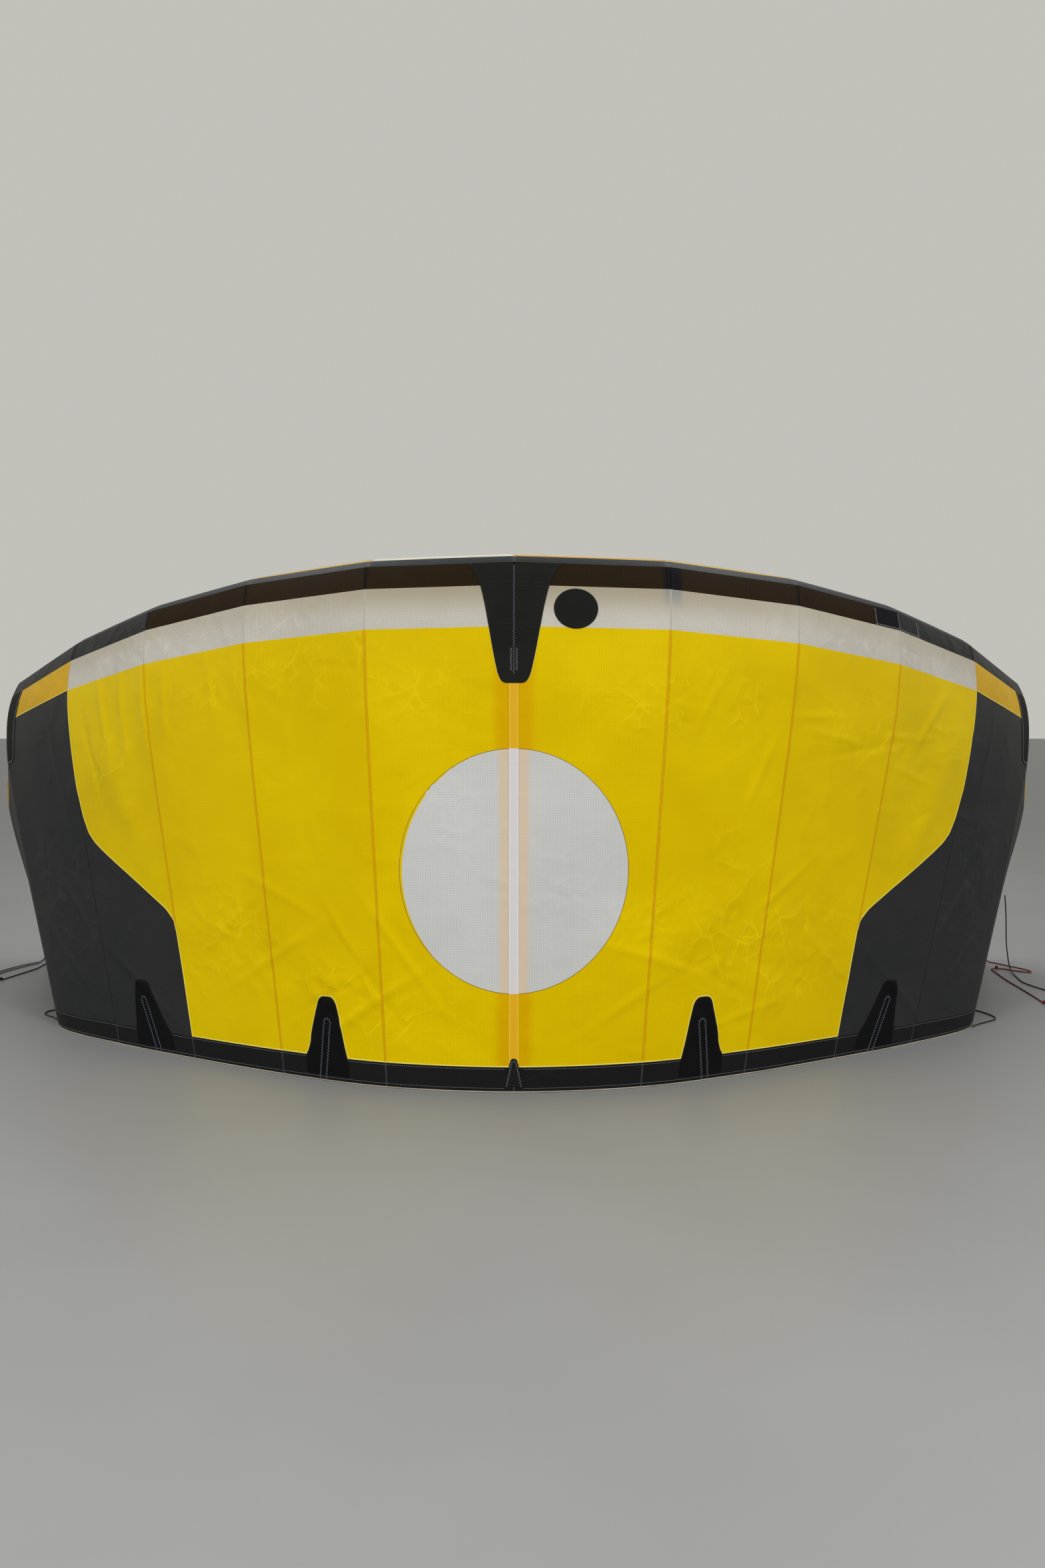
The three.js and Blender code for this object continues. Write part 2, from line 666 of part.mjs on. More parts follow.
function addCanopy(group, side, name) {
  const add = (part, geometry, finish) => addTo(group, `${name}_${part}`, geometry, finish);

  add('trailing_strip', canopyPiece(side, levelStrip(stripHeights, 0, strutSeam), 20), paint.hem);
  add('yellow_panel_1', innerPanel(side), paint.yellow);
  for (let panel = 2; panel <= 3; panel += 1) {
    const rows = panelStrip(() => panel - 1, () => panel);
    add(`yellow_panel_${panel}`, canopyPiece(side, rows, 4), paint.yellow);
  }
  const cornerRow = sideLine[2].row;
  add('yellow_panel_4', canopyPiece(side, panelStrip(() => 3, sideLineAt, cornerRow), 4), paint.yellow);
  add('side_panel', canopyPiece(side, panelStrip(sideLineAt, () => strutSeam), 8), paint.side);
  add('white_band', canopyPiece(side, levelStrip(bandHeights, 0, 4), 16), paint.white);
  add('yellow_band', canopyPiece(side, levelStrip(bandHeights, 4, strutSeam), 4), paint.yellow);
  add('leading_strip_inner', canopyPiece(side, levelStrip(leadHeights, 0, 3), 12), paint.strip);
  add('leading_strip_outer', canopyPiece(side, levelStrip(leadHeights, 3, strutSeam), 8), paint.strip);

  add('tip_trailing_strip', canopyPiece(side, levelStrip(stripHeights, strutSeam, tipSeam), 12), paint.hem);
  const tipRows = panelStrip(() => strutSeam, () => tipSeam);
  add('tip_panel', canopyPiece(side, tipRows, 12), paint.side);
  add('tip_band', canopyPiece(side, levelStrip(bandHeights, strutSeam, tipSeam), 24), paint.yellow);
  add('tip_leading_strip', canopyPiece(side, levelStrip(leadHeights, strutSeam, tipSeam), 12), paint.strip);
}

function addPatches(group, side, name) {
  addTo(group, `${name}_batten_patch_inner`, patchPiece(side, innerBattenPatch, 2), paint.patch);
  addTo(group, `${name}_batten_patch_outer`, patchPiece(side, outerBattenPatch, 2), paint.patch);
  addTo(group, `${name}_strut_strip`, patchPiece(side, strutStrip, 4), paint.patch);
}

function addTubes(group, side, name) {
  for (let index = 0; index < strutSeam; index += 1) {
    addTo(group, `${name}_tube_${index + 1}`, tubeSegment(side, index), paint.tube);
  }
  addTo(group, `${name}_tube_tip`, tubeTip(side), paint.tube);
  addTo(group, `${name}_strut`, strutTube(side * strutSeam), paint.strut);
}

function makeKite() {
  const kite = new THREE.Group();
  for (const [side, name] of [[-1, 'left'], [1, 'right']]) {
    addCanopy(kite, side, name);
    addPatches(kite, side, name);
    addTubes(kite, side, name);
  }
  addTo(kite, 'centre_disc', centreDisc(), paint.white);
  addTo(kite, 'centre_strut', strutTube(0), paint.strut);
  addTo(kite, 'centre_patch', patchPiece(1, centrePatch, 6), paint.patch);
  addTo(kite, 'centre_hem_patch', patchPiece(1, hemPatch, 2), paint.patch);
  addTo(kite, 'round_patch', roundPatchPiece(), paint.patch);

  // The frame's origin is under the middle of the kite, lines left out.
  const middle = new THREE.Box3().setFromObject(kite).getCenter(new THREE.Vector3());
  for (const [name, line] of Object.entries(lines)) {
    addTo(kite, name, lineSolid(line), { color: line.color, roughness: 0.8 });
  }
  for (const mesh of kite.children) {
    mesh.geometry.translate(0, -middle.y, 0);
    mesh.geometry.computeVertexNormals();
  }
  return kite;
}

export default makeKite();
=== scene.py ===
import math

import bmesh
import bpy
import numpy as np
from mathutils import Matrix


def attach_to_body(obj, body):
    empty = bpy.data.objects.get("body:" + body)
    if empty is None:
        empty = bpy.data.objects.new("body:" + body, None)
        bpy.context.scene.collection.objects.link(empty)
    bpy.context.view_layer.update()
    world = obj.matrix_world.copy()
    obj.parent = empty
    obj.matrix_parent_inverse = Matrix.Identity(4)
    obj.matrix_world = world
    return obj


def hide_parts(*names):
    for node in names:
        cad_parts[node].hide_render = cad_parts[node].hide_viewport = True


# Inflatable kitesurfing kite that stands on its trailing edge. Metres, +Z up, convex side towards -Y.
# Places on the canopy are (across, height), as in the part's own source: seams counted from the
# middle, and the share of the chord from the floor at 0 to the leading edge tube at 1.

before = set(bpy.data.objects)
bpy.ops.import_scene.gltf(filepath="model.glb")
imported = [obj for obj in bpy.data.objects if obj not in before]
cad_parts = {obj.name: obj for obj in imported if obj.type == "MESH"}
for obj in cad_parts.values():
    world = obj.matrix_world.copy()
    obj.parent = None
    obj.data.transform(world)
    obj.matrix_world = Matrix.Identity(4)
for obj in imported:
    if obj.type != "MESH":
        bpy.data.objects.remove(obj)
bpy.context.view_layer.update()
print("frame loaded")

bothSides = ((-1, "left"), (1, "right"))

# Camera, light and floor.

cameraView = {
    "place": (0.025, -4.302, 1.096),
    "pitchDown": 3.56,  # degrees
    "focalPixels": 1816,  # for an image of 1568 x 2352
    "imageHeight": 2352,
    "sensor": 36,
}


def newObject(name, data):
    made = bpy.data.objects.new(name, data)
    bpy.context.scene.collection.objects.link(made)
    return made


def addCamera():
    data = bpy.data.cameras.new("camera")
    data.sensor_fit = "VERTICAL"
    data.sensor_height = cameraView["sensor"]
    data.lens = cameraView["sensor"] * cameraView["focalPixels"] / cameraView["imageHeight"]
    data.clip_end = 200
    camera = newObject("camera", data)
    camera.location = cameraView["place"]
    camera.rotation_euler = (math.radians(90 - cameraView["pitchDown"]), 0, 0)
    bpy.context.scene.camera = camera


studio = {
    "floorColor": (0.24, 0.245, 0.25),
    "floorRoughness": 0.5,
    "floorSize": 40,
    "floorHeight": -0.0005,
    "worldColor": (0.84, 0.83, 0.77),
    "worldStrength": 0.64,
    "panels": [  # place, size, watts
        ((-2.5, -3.9, 3.2), 1.1, 135),
        ((2.5, -3.9, 3.2), 1.1, 135),
        ((-1.6, 0.4, 3.4), 1.1, 18),
        ((1.6, 0.4, 3.4), 1.1, 18),
        ((0.0, 3.4, 3.2), 2.0, 60),
    ],
}


def addStudio():
    world = bpy.data.worlds.new("studio")
    world.use_nodes = True
    background = world.node_tree.nodes["Background"]
    background.inputs["Color"].default_value = (*studio["worldColor"], 1)
    background.inputs["Strength"].default_value = studio["worldStrength"]
    bpy.context.scene.world = world
    bpy.context.scene.view_settings.view_transform = "Standard"
    for number, (place, size, watts) in enumerate(studio["panels"], 1):
        data = bpy.data.lights.new(f"ceiling_panel_{number}", "AREA")
        data.shape = "SQUARE"
        data.size = size
        data.energy = watts
        lamp = newObject(data.name, data)
        lamp.location = place
        lamp.visible_camera = False


addCamera()
addStudio()
print("camera and light made")

# Helpers for materials.


def sRgb(red, green, blue):
    return tuple(
        value / 255 / 12.92 if value / 255 <= 0.04045 else ((value / 255 + 0.055) / 1.055) ** 2.4
        for value in (red, green, blue)
    )


def setSocket(tree, socket, value):
    if isinstance(value, bpy.types.NodeSocket):
        tree.links.new(value, socket)
    else:
        socket.default_value = value


def addNode(tree, kind, settings=None, **inputs):
    node = tree.nodes.new(kind)
    for key, value in (settings or {}).items():
        setattr(node, key, value)
    for key, value in inputs.items():
        name = int(key[1:]) if key[0] == "n" and key[1:].isdigit() else key.replace("_", " ")
        setSocket(tree, node.inputs[name], value)
    return node


def calc(tree, operation, first, second=0.0, third=0.0):
    return addNode(tree, "ShaderNodeMath", {"operation": operation}, n0=first, n1=second, n2=third).outputs[0]


def vectorCalc(tree, operation, **inputs):
    return addNode(tree, "ShaderNodeVectorMath", {"operation": operation}, **inputs).outputs[0]


def split(tree, vector):
    return addNode(tree, "ShaderNodeSeparateXYZ", n0=vector).outputs


def noise(tree, where, scale, detail=1.0):
    return addNode(tree, "ShaderNodeTexNoise", None, Vector=where, Scale=scale, Detail=detail).outputs


def remap(tree, value, low, high, fromOut=0.0, toOut=1.0):
    node = addNode(tree, "ShaderNodeMapRange", {"interpolation_type": "SMOOTHSTEP"}, n0=value)
    for socket, number in zip(node.inputs[1:5], (low, high, fromOut, toOut)):
        setSocket(tree, socket, number)
    return node.outputs[0]


def mixColor(tree, share, first, second):
    node = addNode(tree, "ShaderNodeMix", {"data_type": "RGBA"})
    for index, value in ((0, share), (6, first), (7, second)):
        setSocket(tree, node.inputs[index], (*value, 1) if isinstance(value, tuple) else value)
    return node.outputs[2]


def darker(color, share):
    return tuple(share * part for part in color)


def newGroup(name, vector, numbers, outputs):
    # A group that takes one vector and some numbers, and puts out numbers.
    tree = bpy.data.node_groups.new(name, "ShaderNodeTree")
    face = tree.interface
    face.new_socket(vector, in_out="INPUT", socket_type="NodeSocketVector")
    for label, value in numbers.items():
        face.new_socket(label, in_out="INPUT", socket_type="NodeSocketFloat").default_value = value
    for label in outputs:
        face.new_socket(label, in_out="OUTPUT", socket_type="NodeSocketFloat")
    return tree, tree.nodes.new("NodeGroupInput").outputs, tree.nodes.new("NodeGroupOutput").inputs


def useGroup(tree, group, **inputs):
    node = tree.nodes.new("ShaderNodeGroup")
    node.node_tree = group
    for key, value in inputs.items():
        setSocket(tree, node.inputs[key], value)
    return node.outputs


def makeRipstopGroup():
    numbers = {"Cell": 0.005, "Line": 0.12, "Upright": 1.0, "Level": 0.6}
    tree, given, result = newGroup("ripstopGrid", "Vector", numbers, ("Lines",))
    cells = calc(tree, "DIVIDE", 1.0, given["Cell"])
    parts = split(tree, vectorCalc(tree, "SCALE", n0=given["Vector"], Scale=cells))
    wide = calc(tree, "MULTIPLY", given["Line"], 1.8)
    masks = []
    for part, strength in ((parts[0], given["Upright"]), (parts[1], given["Level"])):
        away = calc(tree, "PINGPONG", part, 0.5)
        masks.append(calc(tree, "MULTIPLY", remap(tree, away, given["Line"], wide, 1.0, 0.0), strength))
    tree.links.new(calc(tree, "MAXIMUM", *masks), result["Lines"])
    return tree


# Sway of the facets, patches in which creases show, width of a crease and of its sides, and the swell.
crumple = {
    "swayScale": 1.6, "sway": 0.22, "patchScale": 1.1, "patchSpan": (0.47, 0.62), "core": 0.3, "wide": 2.6,
    "sideSpan": 0.26, "patchGain": 0.75, "patchLeast": 0.25, "swellScale": 0.55, "sideGain": 0.42,
}


def makeCrumpleGroup():
    # Flat facets that meet in straight creases, over a soft swell. Creases show in patches only.
    numbers = {"Size": 0.1, "Seed": 0.0, "Line": 0.03}
    tree, given, result = newGroup("crumpledCloth", "Vector", numbers, ("Height", "Creases"))
    size, seed, thin = given["Size"], given["Seed"], given["Line"]
    cells = calc(tree, "DIVIDE", 1.0, size)
    shift = addNode(tree, "ShaderNodeCombineXYZ", n0=seed, n1=seed, n2=seed).outputs[0]
    start = vectorCalc(tree, "ADD", n0=given["Vector"], n1=shift)
    sway = noise(tree, start, calc(tree, "MULTIPLY", cells, crumple["swayScale"]))["Color"]
    reach = vectorCalc(tree, "SCALE", n0=sway, Scale=calc(tree, "MULTIPLY", size, crumple["sway"]))
    bent = vectorCalc(tree, "ADD", n0=start, n1=reach)
    facets = addNode(tree, "ShaderNodeTexVoronoi", {"feature": "DISTANCE_TO_EDGE"}, Vector=bent, Scale=cells)
    edge = facets.outputs["Distance"]
    spread = noise(tree, start, calc(tree, "MULTIPLY", cells, crumple["patchScale"]))["Fac"]
    patchy = remap(tree, spread, *crumple["patchSpan"])
    core = calc(tree, "MULTIPLY", thin, crumple["core"])
    line = remap(tree, edge, core, calc(tree, "MULTIPLY", thin, crumple["wide"]), 1.0, 0.0)
    gain = calc(tree, "MULTIPLY_ADD", patchy, crumple["patchGain"], crumple["patchLeast"])
    sides = calc(tree, "MULTIPLY", remap(tree, edge, 0.0, crumple["sideSpan"], 1.0, 0.0), gain)
    swell = noise(tree, start, calc(tree, "MULTIPLY", cells, crumple["swellScale"]))["Fac"]
    tree.links.new(calc(tree, "MULTIPLY_ADD", sides, crumple["sideGain"], swell), result["Height"])
    tree.links.new(calc(tree, "MULTIPLY", line, patchy), result["Creases"])
    return tree


# Usual width of a panel and length of the chord, in metres.
foldSpan, foldChord = 0.41, 1.5


def makeSeamGroup():
    numbers = {"Panel Width": foldSpan, "Half Width": 0.003, "Softness": 0.003}
    tree, given, result = newGroup("panelSeams", "Place", numbers, ("Mask",))
    across = split(tree, given["Place"])[0]
    away = calc(tree, "MULTIPLY", calc(tree, "PINGPONG", across, 0.5), given["Panel Width"])
    outer = calc(tree, "ADD", given["Half Width"], given["Softness"])
    tree.links.new(remap(tree, away, given["Half Width"], outer, 1.0, 0.0), result["Mask"])
    return tree


def makeWeaveGroup():
    tree, given, result = newGroup("coarseWeave", "Vector", {"Thread": 0.0011}, ("Height",))
    turns = calc(tree, "DIVIDE", math.pi, given["Thread"])
    parts = split(tree, vectorCalc(tree, "SCALE", n0=given["Vector"], Scale=turns))
    waves = calc(tree, "MULTIPLY", calc(tree, "SINE", parts[0]), calc(tree, "SINE", parts[1]))
    tree.links.new(calc(tree, "MULTIPLY_ADD", waves, 0.5, 0.5), result["Height"])
    return tree


def makeMottleGroup():
    tree, given, result = newGroup("unevenDye", "Vector", {"Size": 0.3}, ("Mask",))
    cells = calc(tree, "DIVIDE", 1.0, given["Size"])
    large = addNode(tree, "ShaderNodeTexNoise", None, Vector=given["Vector"], Scale=cells, Detail=3.0,
                    Roughness=0.6).outputs["Fac"]
    tree.links.new(remap(tree, large, 0.3, 0.7), result["Mask"])
    return tree


ripstopGrid = makeRipstopGroup()
crumpledCloth = makeCrumpleGroup()
panelSeams = makeSeamGroup()
coarseWeave = makeWeaveGroup()
unevenDye = makeMottleGroup()


def startMaterial(name, roughness, specular, sheen=0.0):
    material = bpy.data.materials.new(name)
    material.use_nodes = True
    tree = material.node_tree
    shader = tree.nodes["Principled BSDF"]
    shader.inputs["Roughness"].default_value = roughness
    shader.inputs["Specular IOR Level"].default_value = specular
    shader.inputs["Sheen Weight"].default_value = sheen
    shader.inputs["Sheen Roughness"].default_value = 0.4
    return material, tree, shader


def flatUv(tree):
    return addNode(tree, "ShaderNodeUVMap", {"uv_map": "Cloth"}).outputs[0]


def objectPlace(tree):
    return addNode(tree, "ShaderNodeTexCoord").outputs["Object"]


def canopyPlace(tree):
    # Across and height, and a third number: how crushed the cloth is, or on a tube how white.
    return addNode(tree, "ShaderNodeAttribute", {"attribute_name": "place"}).outputs["Vector"]


def bumped(tree, height, distance, under=None):
    node = addNode(tree, "ShaderNodeBump", None, Height=height, Distance=distance, Strength=1.0)
    if under is not None:
        tree.links.new(under, node.inputs["Normal"])
    return node.outputs[0]


# Heights of the trailing strip and the band, as shares of the chord.
stripTop, bandBottom, bandMiddle, bandTop = 0.047, 0.866, 0.9, 0.95

# Base and darker dye, grid lines, seams, the painted highlight along creases, the painted shade of the strut
# seen through the cloth, and the way it creases, for each cloth of the canopy.
plainCloth = {
    "gridShare": 0.5, "seamHalf": 0.001, "creaseHighlightShare": 0.5, "behindShare": 0.0, "roughness": 0.45,
    "specular": 0.16, "tint": (1.0, 1.0, 1.0), "crumple": 0.0030,
}
yellowTint = (1.0, 0.86, 0.1)
clothFinishes = {
    "yellow_cloth": {
        "color": sRgb(230, 199, 0), "deep": sRgb(220, 187, 0), "grid": sRgb(196, 166, 0),
        "seam": sRgb(214, 156, 0), "seamHalf": 0.0013, "creaseHighlight": sRgb(242, 218, 20), "creaseHighlightShare": 0.55,
        "behind": sRgb(210, 152, 0), "behindSpan": (0.08, 0.17), "behindShare": 0.6,
        "specular": 0.14, "tint": yellowTint, "crumpleSize": 0.16,
    },
    "disc_cloth": {
        "color": sRgb(213, 214, 212), "deep": sRgb(204, 205, 204), "grid": sRgb(166, 167, 166),
        "gridShare": 0.6, "seamHalf": 0.0, "creaseHighlight": sRgb(232, 232, 230), "creaseHighlightShare": 0.4,
        "behind": sRgb(216, 192, 164), "behindSpan": (0.085, 0.12), "behindShare": 0.8,
        "specular": 0.2, "crumple": 0.0018, "crumpleSize": 0.14,
    },
    "white_cloth": {
        "color": sRgb(212, 207, 197), "deep": sRgb(199, 194, 183), "grid": sRgb(152, 149, 142),
        "gridShare": 0.55, "seam": sRgb(176, 170, 160), "creaseHighlight": sRgb(232, 229, 222), "specular": 0.2,
        "crumpleSize": 0.11,
    },
    "band_cloth": {
        "color": sRgb(222, 176, 6), "deep": sRgb(206, 160, 2), "grid": sRgb(190, 146, 0),
        "seam": sRgb(206, 140, 4), "creaseHighlight": sRgb(240, 204, 44), "tint": yellowTint, "crumpleSize": 0.12,
    },
    "side_cloth": {
        "color": sRgb(38, 38, 39), "deep": sRgb(31, 32, 34), "grid": sRgb(56, 57, 60), "gridShare": 0.35,
        "seam": sRgb(20, 20, 22), "creaseHighlight": sRgb(62, 62, 65), "creaseHighlightShare": 0.4, "roughness": 0.5,
        "crumple": 0.0040, "crumpleSize": 0.18,
    },
    "strip_cloth": {
        "color": sRgb(32, 23, 11), "deep": sRgb(25, 18, 9), "grid": sRgb(62, 48, 30), "gridShare": 0.6,
        "seam": sRgb(12, 11, 10), "seamHalf": 0.003, "creaseHighlight": sRgb(58, 46, 30), "creaseHighlightShare": 0.3,
        "roughness": 0.6, "specular": 0.03, "crumpleSize": 0.13,
    },
    "dark_strip_cloth": {
        "color": sRgb(29, 29, 30), "deep": sRgb(23, 23, 24), "grid": sRgb(38, 38, 39), "gridShare": 0.4,
        "seam": sRgb(12, 12, 13), "seamHalf": 0.003, "creaseHighlight": sRgb(64, 64, 67), "specular": 0.12,
        "crumple": 0.0048, "crumpleSize": 0.15,
    },
    "hem_cloth": {
        "color": sRgb(15, 15, 17), "deep": sRgb(11, 11, 12), "grid": sRgb(9, 9, 10), "gridShare": 0.4,
        "seam": sRgb(60, 62, 66), "seamHalf": 0.0011, "creaseHighlight": sRgb(30, 30, 32), "creaseHighlightShare": 0.3,
        "roughness": 0.55, "specular": 0.2, "crumple": 0.0024, "crumpleSize": 0.1,
    },
}
# The middle of the white band is in shade under the tube.
bandShade = {"from": 0.88, "across": (0.8, 2.2), "share": (0.8, 0.45), "color": sRgb(158, 147, 120)}
stitchedBox = {"inner": 2.76, "seam": 3.0, "outer": 3.24, "edge": 0.005, "color": sRgb(21, 21, 25)}
clothDetail = {
    "dyeSize": 0.35, "line": 0.012, "fineSize": 0.36, "fineSeed": 7.0, "fineLine": 0.022, "fineDepth": 0.5,
    "cell": 0.005, "cellLine": 0.11, "cellDepth": 0.00012, "seamSoftness": 0.003, "seamShare": 0.75,
}
# Painted shadow of a part behind the sheer cloth: where across, its width and fade, and its colour and share
# on the strip and the band.
throughShadow = {
    "across": 1.02, "halfWidth": 0.035, "fade": 0.05, "strip": sRgb(12, 13, 24), "stripShare": 0.85,
    "band": sRgb(128, 132, 144), "bandShare": 0.6,
}


def addThroughShadow(tree, color, place, name):
    # Painted shadow: a soft dark patch over the leading strip, cast by a part behind the sheer cloth, which
    # runs out on the white band.
    away = calc(tree, "ABSOLUTE", calc(tree, "SUBTRACT", place[0], throughShadow["across"]))
    spot = remap(tree, away, throughShadow["halfWidth"], throughShadow["halfWidth"] + throughShadow["fade"], 1.0, 0.0)
    if name == "white_cloth":
        level = remap(tree, place[1], bandMiddle, bandTop, 0.0, throughShadow["bandShare"])
        return mixColor(tree, calc(tree, "MULTIPLY", spot, level), color, throughShadow["band"])
    return mixColor(tree, calc(tree, "MULTIPLY", spot, throughShadow["stripShare"]), color, throughShadow["strip"])


def gridLines(tree, uv, upright, level):
    return useGroup(tree, ripstopGrid, Vector=uv, Cell=clothDetail["cell"], Line=clothDetail["cellLine"],
                    Upright=upright, Level=level)["Lines"]


def makeClothMaterial(name, finish):
    material, tree, shader = startMaterial(name, finish["roughness"], finish["specular"])
    shader.inputs["Specular Tint"].default_value = (*finish["tint"], 1)
    uv, where, placed = flatUv(tree), objectPlace(tree), canopyPlace(tree)
    place = split(tree, placed)
    dye = useGroup(tree, unevenDye, Vector=where, Size=clothDetail["dyeSize"])["Mask"]
    color = mixColor(tree, dye, finish["color"], finish["deep"])
    size = finish["crumpleSize"]
    broad = useGroup(tree, crumpledCloth, Vector=where, Size=size, Seed=0.0, Line=clothDetail["line"])
    fine = useGroup(tree, crumpledCloth, Vector=where, Size=size * clothDetail["fineSize"],
                    Seed=clothDetail["fineSeed"], Line=clothDetail["fineLine"])
    # Painted highlight: lighter flecks along the creases where the cloth was crushed.
    crushedHere = place[2]
    creaseLines = calc(tree, "MAXIMUM", fine["Creases"], broad["Creases"])
    highlightFlecks = calc(tree, "MULTIPLY", creaseLines, crushedHere)
    color = mixColor(tree, calc(tree, "MULTIPLY", highlightFlecks, finish["creaseHighlightShare"]), color, finish["creaseHighlight"])
    grid = gridLines(tree, uv, 1.0, 0.6)
    color = mixColor(tree, calc(tree, "MULTIPLY", grid, finish["gridShare"]), color, finish["grid"])
    away = calc(tree, "ABSOLUTE", place[0])
    # Painted shade: a darker band beside the middle, where the strut behind the sheer cloth keeps the light
    # out.
    if finish["behindShare"]:
        strutShadeHere = remap(tree, away, *finish["behindSpan"], finish["behindShare"], 0.0)
        color = mixColor(tree, strutShadeHere, color, finish["behind"])
    if name == "white_cloth":
        middle = remap(tree, away, *bandShade["across"], *bandShade["share"])
        shade = calc(tree, "MULTIPLY", remap(tree, place[1], bandShade["from"], bandTop), middle)
        color = mixColor(tree, shade, color, bandShade["color"])
    if name in ("strip_cloth", "dark_strip_cloth"):
        inner, outer, edge = stitchedBox["inner"], stitchedBox["outer"], stitchedBox["edge"]
        begin = remap(tree, place[0], inner - edge, inner + edge)
        stop = remap(tree, place[0], outer - edge, outer + edge, 1.0, 0.0)
        color = mixColor(tree, calc(tree, "MULTIPLY", begin, stop), color, stitchedBox["color"])
    # Painted shadow of a part behind the sheer cloth, on the strip and the white band.
    if name in ("white_cloth", "strip_cloth"):
        color = addThroughShadow(tree, color, place, name)
    if finish["seamHalf"]:
        widths = {"Half Width": finish["seamHalf"], "Softness": clothDetail["seamSoftness"]}
        seam = useGroup(tree, panelSeams, Place=placed, **widths)["Mask"]
        color = mixColor(tree, calc(tree, "MULTIPLY", seam, clothDetail["seamShare"]), color, finish["seam"])
    tree.links.new(color, shader.inputs["Base Color"])
    depth = finish["crumple"]
    normal = bumped(tree, broad["Height"], depth)
    fineHeight = calc(tree, "MULTIPLY", fine["Height"], crushedHere)
    normal = bumped(tree, fineHeight, depth * clothDetail["fineDepth"], normal)
    normal = bumped(tree, grid, clothDetail["cellDepth"], normal)
    tree.links.new(normal, shader.inputs["Normal"])
    return material


cloths = {name: makeClothMaterial(name, {**plainCloth, **finish}) for name, finish in clothFinishes.items()}

# Woven cloths: patches, edging, struts and the rim of the round centre piece.
wovenDetail = {
    "specular": 0.08, "dyeSize": 0.12, "gapShare": 0.25, "gapShade": 0.7, "creaseSize": 0.09,
    "creaseSeed": 3.0, "creaseDepth": 0.0012, "weaveDepth": 0.00015,
}
wovenFinishes = {  # colour, darker dye, roughness, width of a thread
    "patch_cloth": (sRgb(29, 29, 27), sRgb(24, 24, 22), 0.62, 0.0016),
    "batten_cloth": (sRgb(15, 15, 16), sRgb(11, 11, 12), 0.6, 0.0014),
    "edging_cloth": (sRgb(240, 226, 110), sRgb(232, 214, 80), 0.5, 0.0008),
    "hem_edge": (sRgb(188, 180, 158), sRgb(160, 152, 132), 0.6, 0.0008),
    "strut_cloth": (sRgb(222, 221, 216), sRgb(208, 207, 202), 0.5, 0.0012),
    "disc_rim_cloth": (sRgb(160, 132, 62), sRgb(142, 116, 50), 0.5, 0.0008),
}


def makeWovenMaterial(name, color, deep, roughness, thread):
    material, tree, shader = startMaterial(name, roughness, wovenDetail["specular"])
    where = objectPlace(tree)
    dye = useGroup(tree, unevenDye, Vector=where, Size=wovenDetail["dyeSize"])["Mask"]
    weave = useGroup(tree, coarseWeave, Vector=flatUv(tree), Thread=thread)["Height"]
    gaps = calc(tree, "MULTIPLY", weave, wovenDetail["gapShare"])
    dyed = mixColor(tree, dye, color, deep)
    shade = mixColor(tree, gaps, dyed, darker(deep, wovenDetail["gapShade"]))
    tree.links.new(shade, shader.inputs["Base Color"])
    creased = useGroup(tree, crumpledCloth, Vector=where, Size=wovenDetail["creaseSize"],
                       Seed=wovenDetail["creaseSeed"])
    normal = bumped(tree, creased["Height"], wovenDetail["creaseDepth"])
    tree.links.new(bumped(tree, weave, wovenDetail["weaveDepth"], normal), shader.inputs["Normal"])
    return material


woven = {name: makeWovenMaterial(name, *finish) for name, finish in wovenFinishes.items()}

threadColors = {
    "grey": sRgb(150, 152, 154), "dark": sRgb(20, 20, 22), "slate": sRgb(118, 128, 142),
    "orange": sRgb(222, 158, 10),
}


threadFinish = {"roughness": 0.6, "specular": 0.3, "sheen": 0.1, "twist": 900.0, "shade": 0.72}


def makeThreadMaterial(name, color):
    look = threadFinish
    material, tree, shader = startMaterial(name, look["roughness"], look["specular"], look["sheen"])
    twist = noise(tree, objectPlace(tree), look["twist"])["Fac"]
    tree.links.new(mixColor(tree, twist, color, darker(color, look["shade"])), shader.inputs["Base Color"])
    return material


threads = {name: makeThreadMaterial(f"{name}_thread", color) for name, color in threadColors.items()}


braidFinish = {
    "roughness": 0.6, "specular": 0.3, "sheen": 0.15, "strands": 520.0, "span": (0.15, 0.6), "depth": 0.0004,
}
braidColors = {  # light and dark strands
    "grey": (sRgb(112, 116, 124), sRgb(84, 88, 96)),
    "black": (sRgb(26, 26, 28), sRgb(14, 14, 15)),
    "red": (sRgb(150, 34, 44), sRgb(92, 18, 26)),
}


def makeLineMaterial(name, color, other):
    look = braidFinish
    material, tree, shader = startMaterial(name, look["roughness"], look["specular"], look["sheen"])
    braid = addNode(tree, "ShaderNodeTexVoronoi", None, Vector=objectPlace(tree), Scale=look["strands"])
    strand = braid.outputs["Distance"]
    shade = mixColor(tree, remap(tree, strand, *look["span"]), color, other)
    tree.links.new(shade, shader.inputs["Base Color"])
    tree.links.new(bumped(tree, strand, look["depth"]), shader.inputs["Normal"])
    return material


lineCloths = {f"{name}_line": makeLineMaterial(f"{name}_braid", *pair) for name, pair in braidColors.items()}


def makeFloorMaterial():
    material, tree, shader = startMaterial("pale_floor", studio["floorRoughness"], 0.4)
    dust = noise(tree, objectPlace(tree), 1.4, 3.0)["Fac"]
    color = studio["floorColor"]
    shade = mixColor(tree, remap(tree, dust, 0.3, 0.7), color, darker(color, 0.95))
    tree.links.new(shade, shader.inputs["Base Color"])
    return material


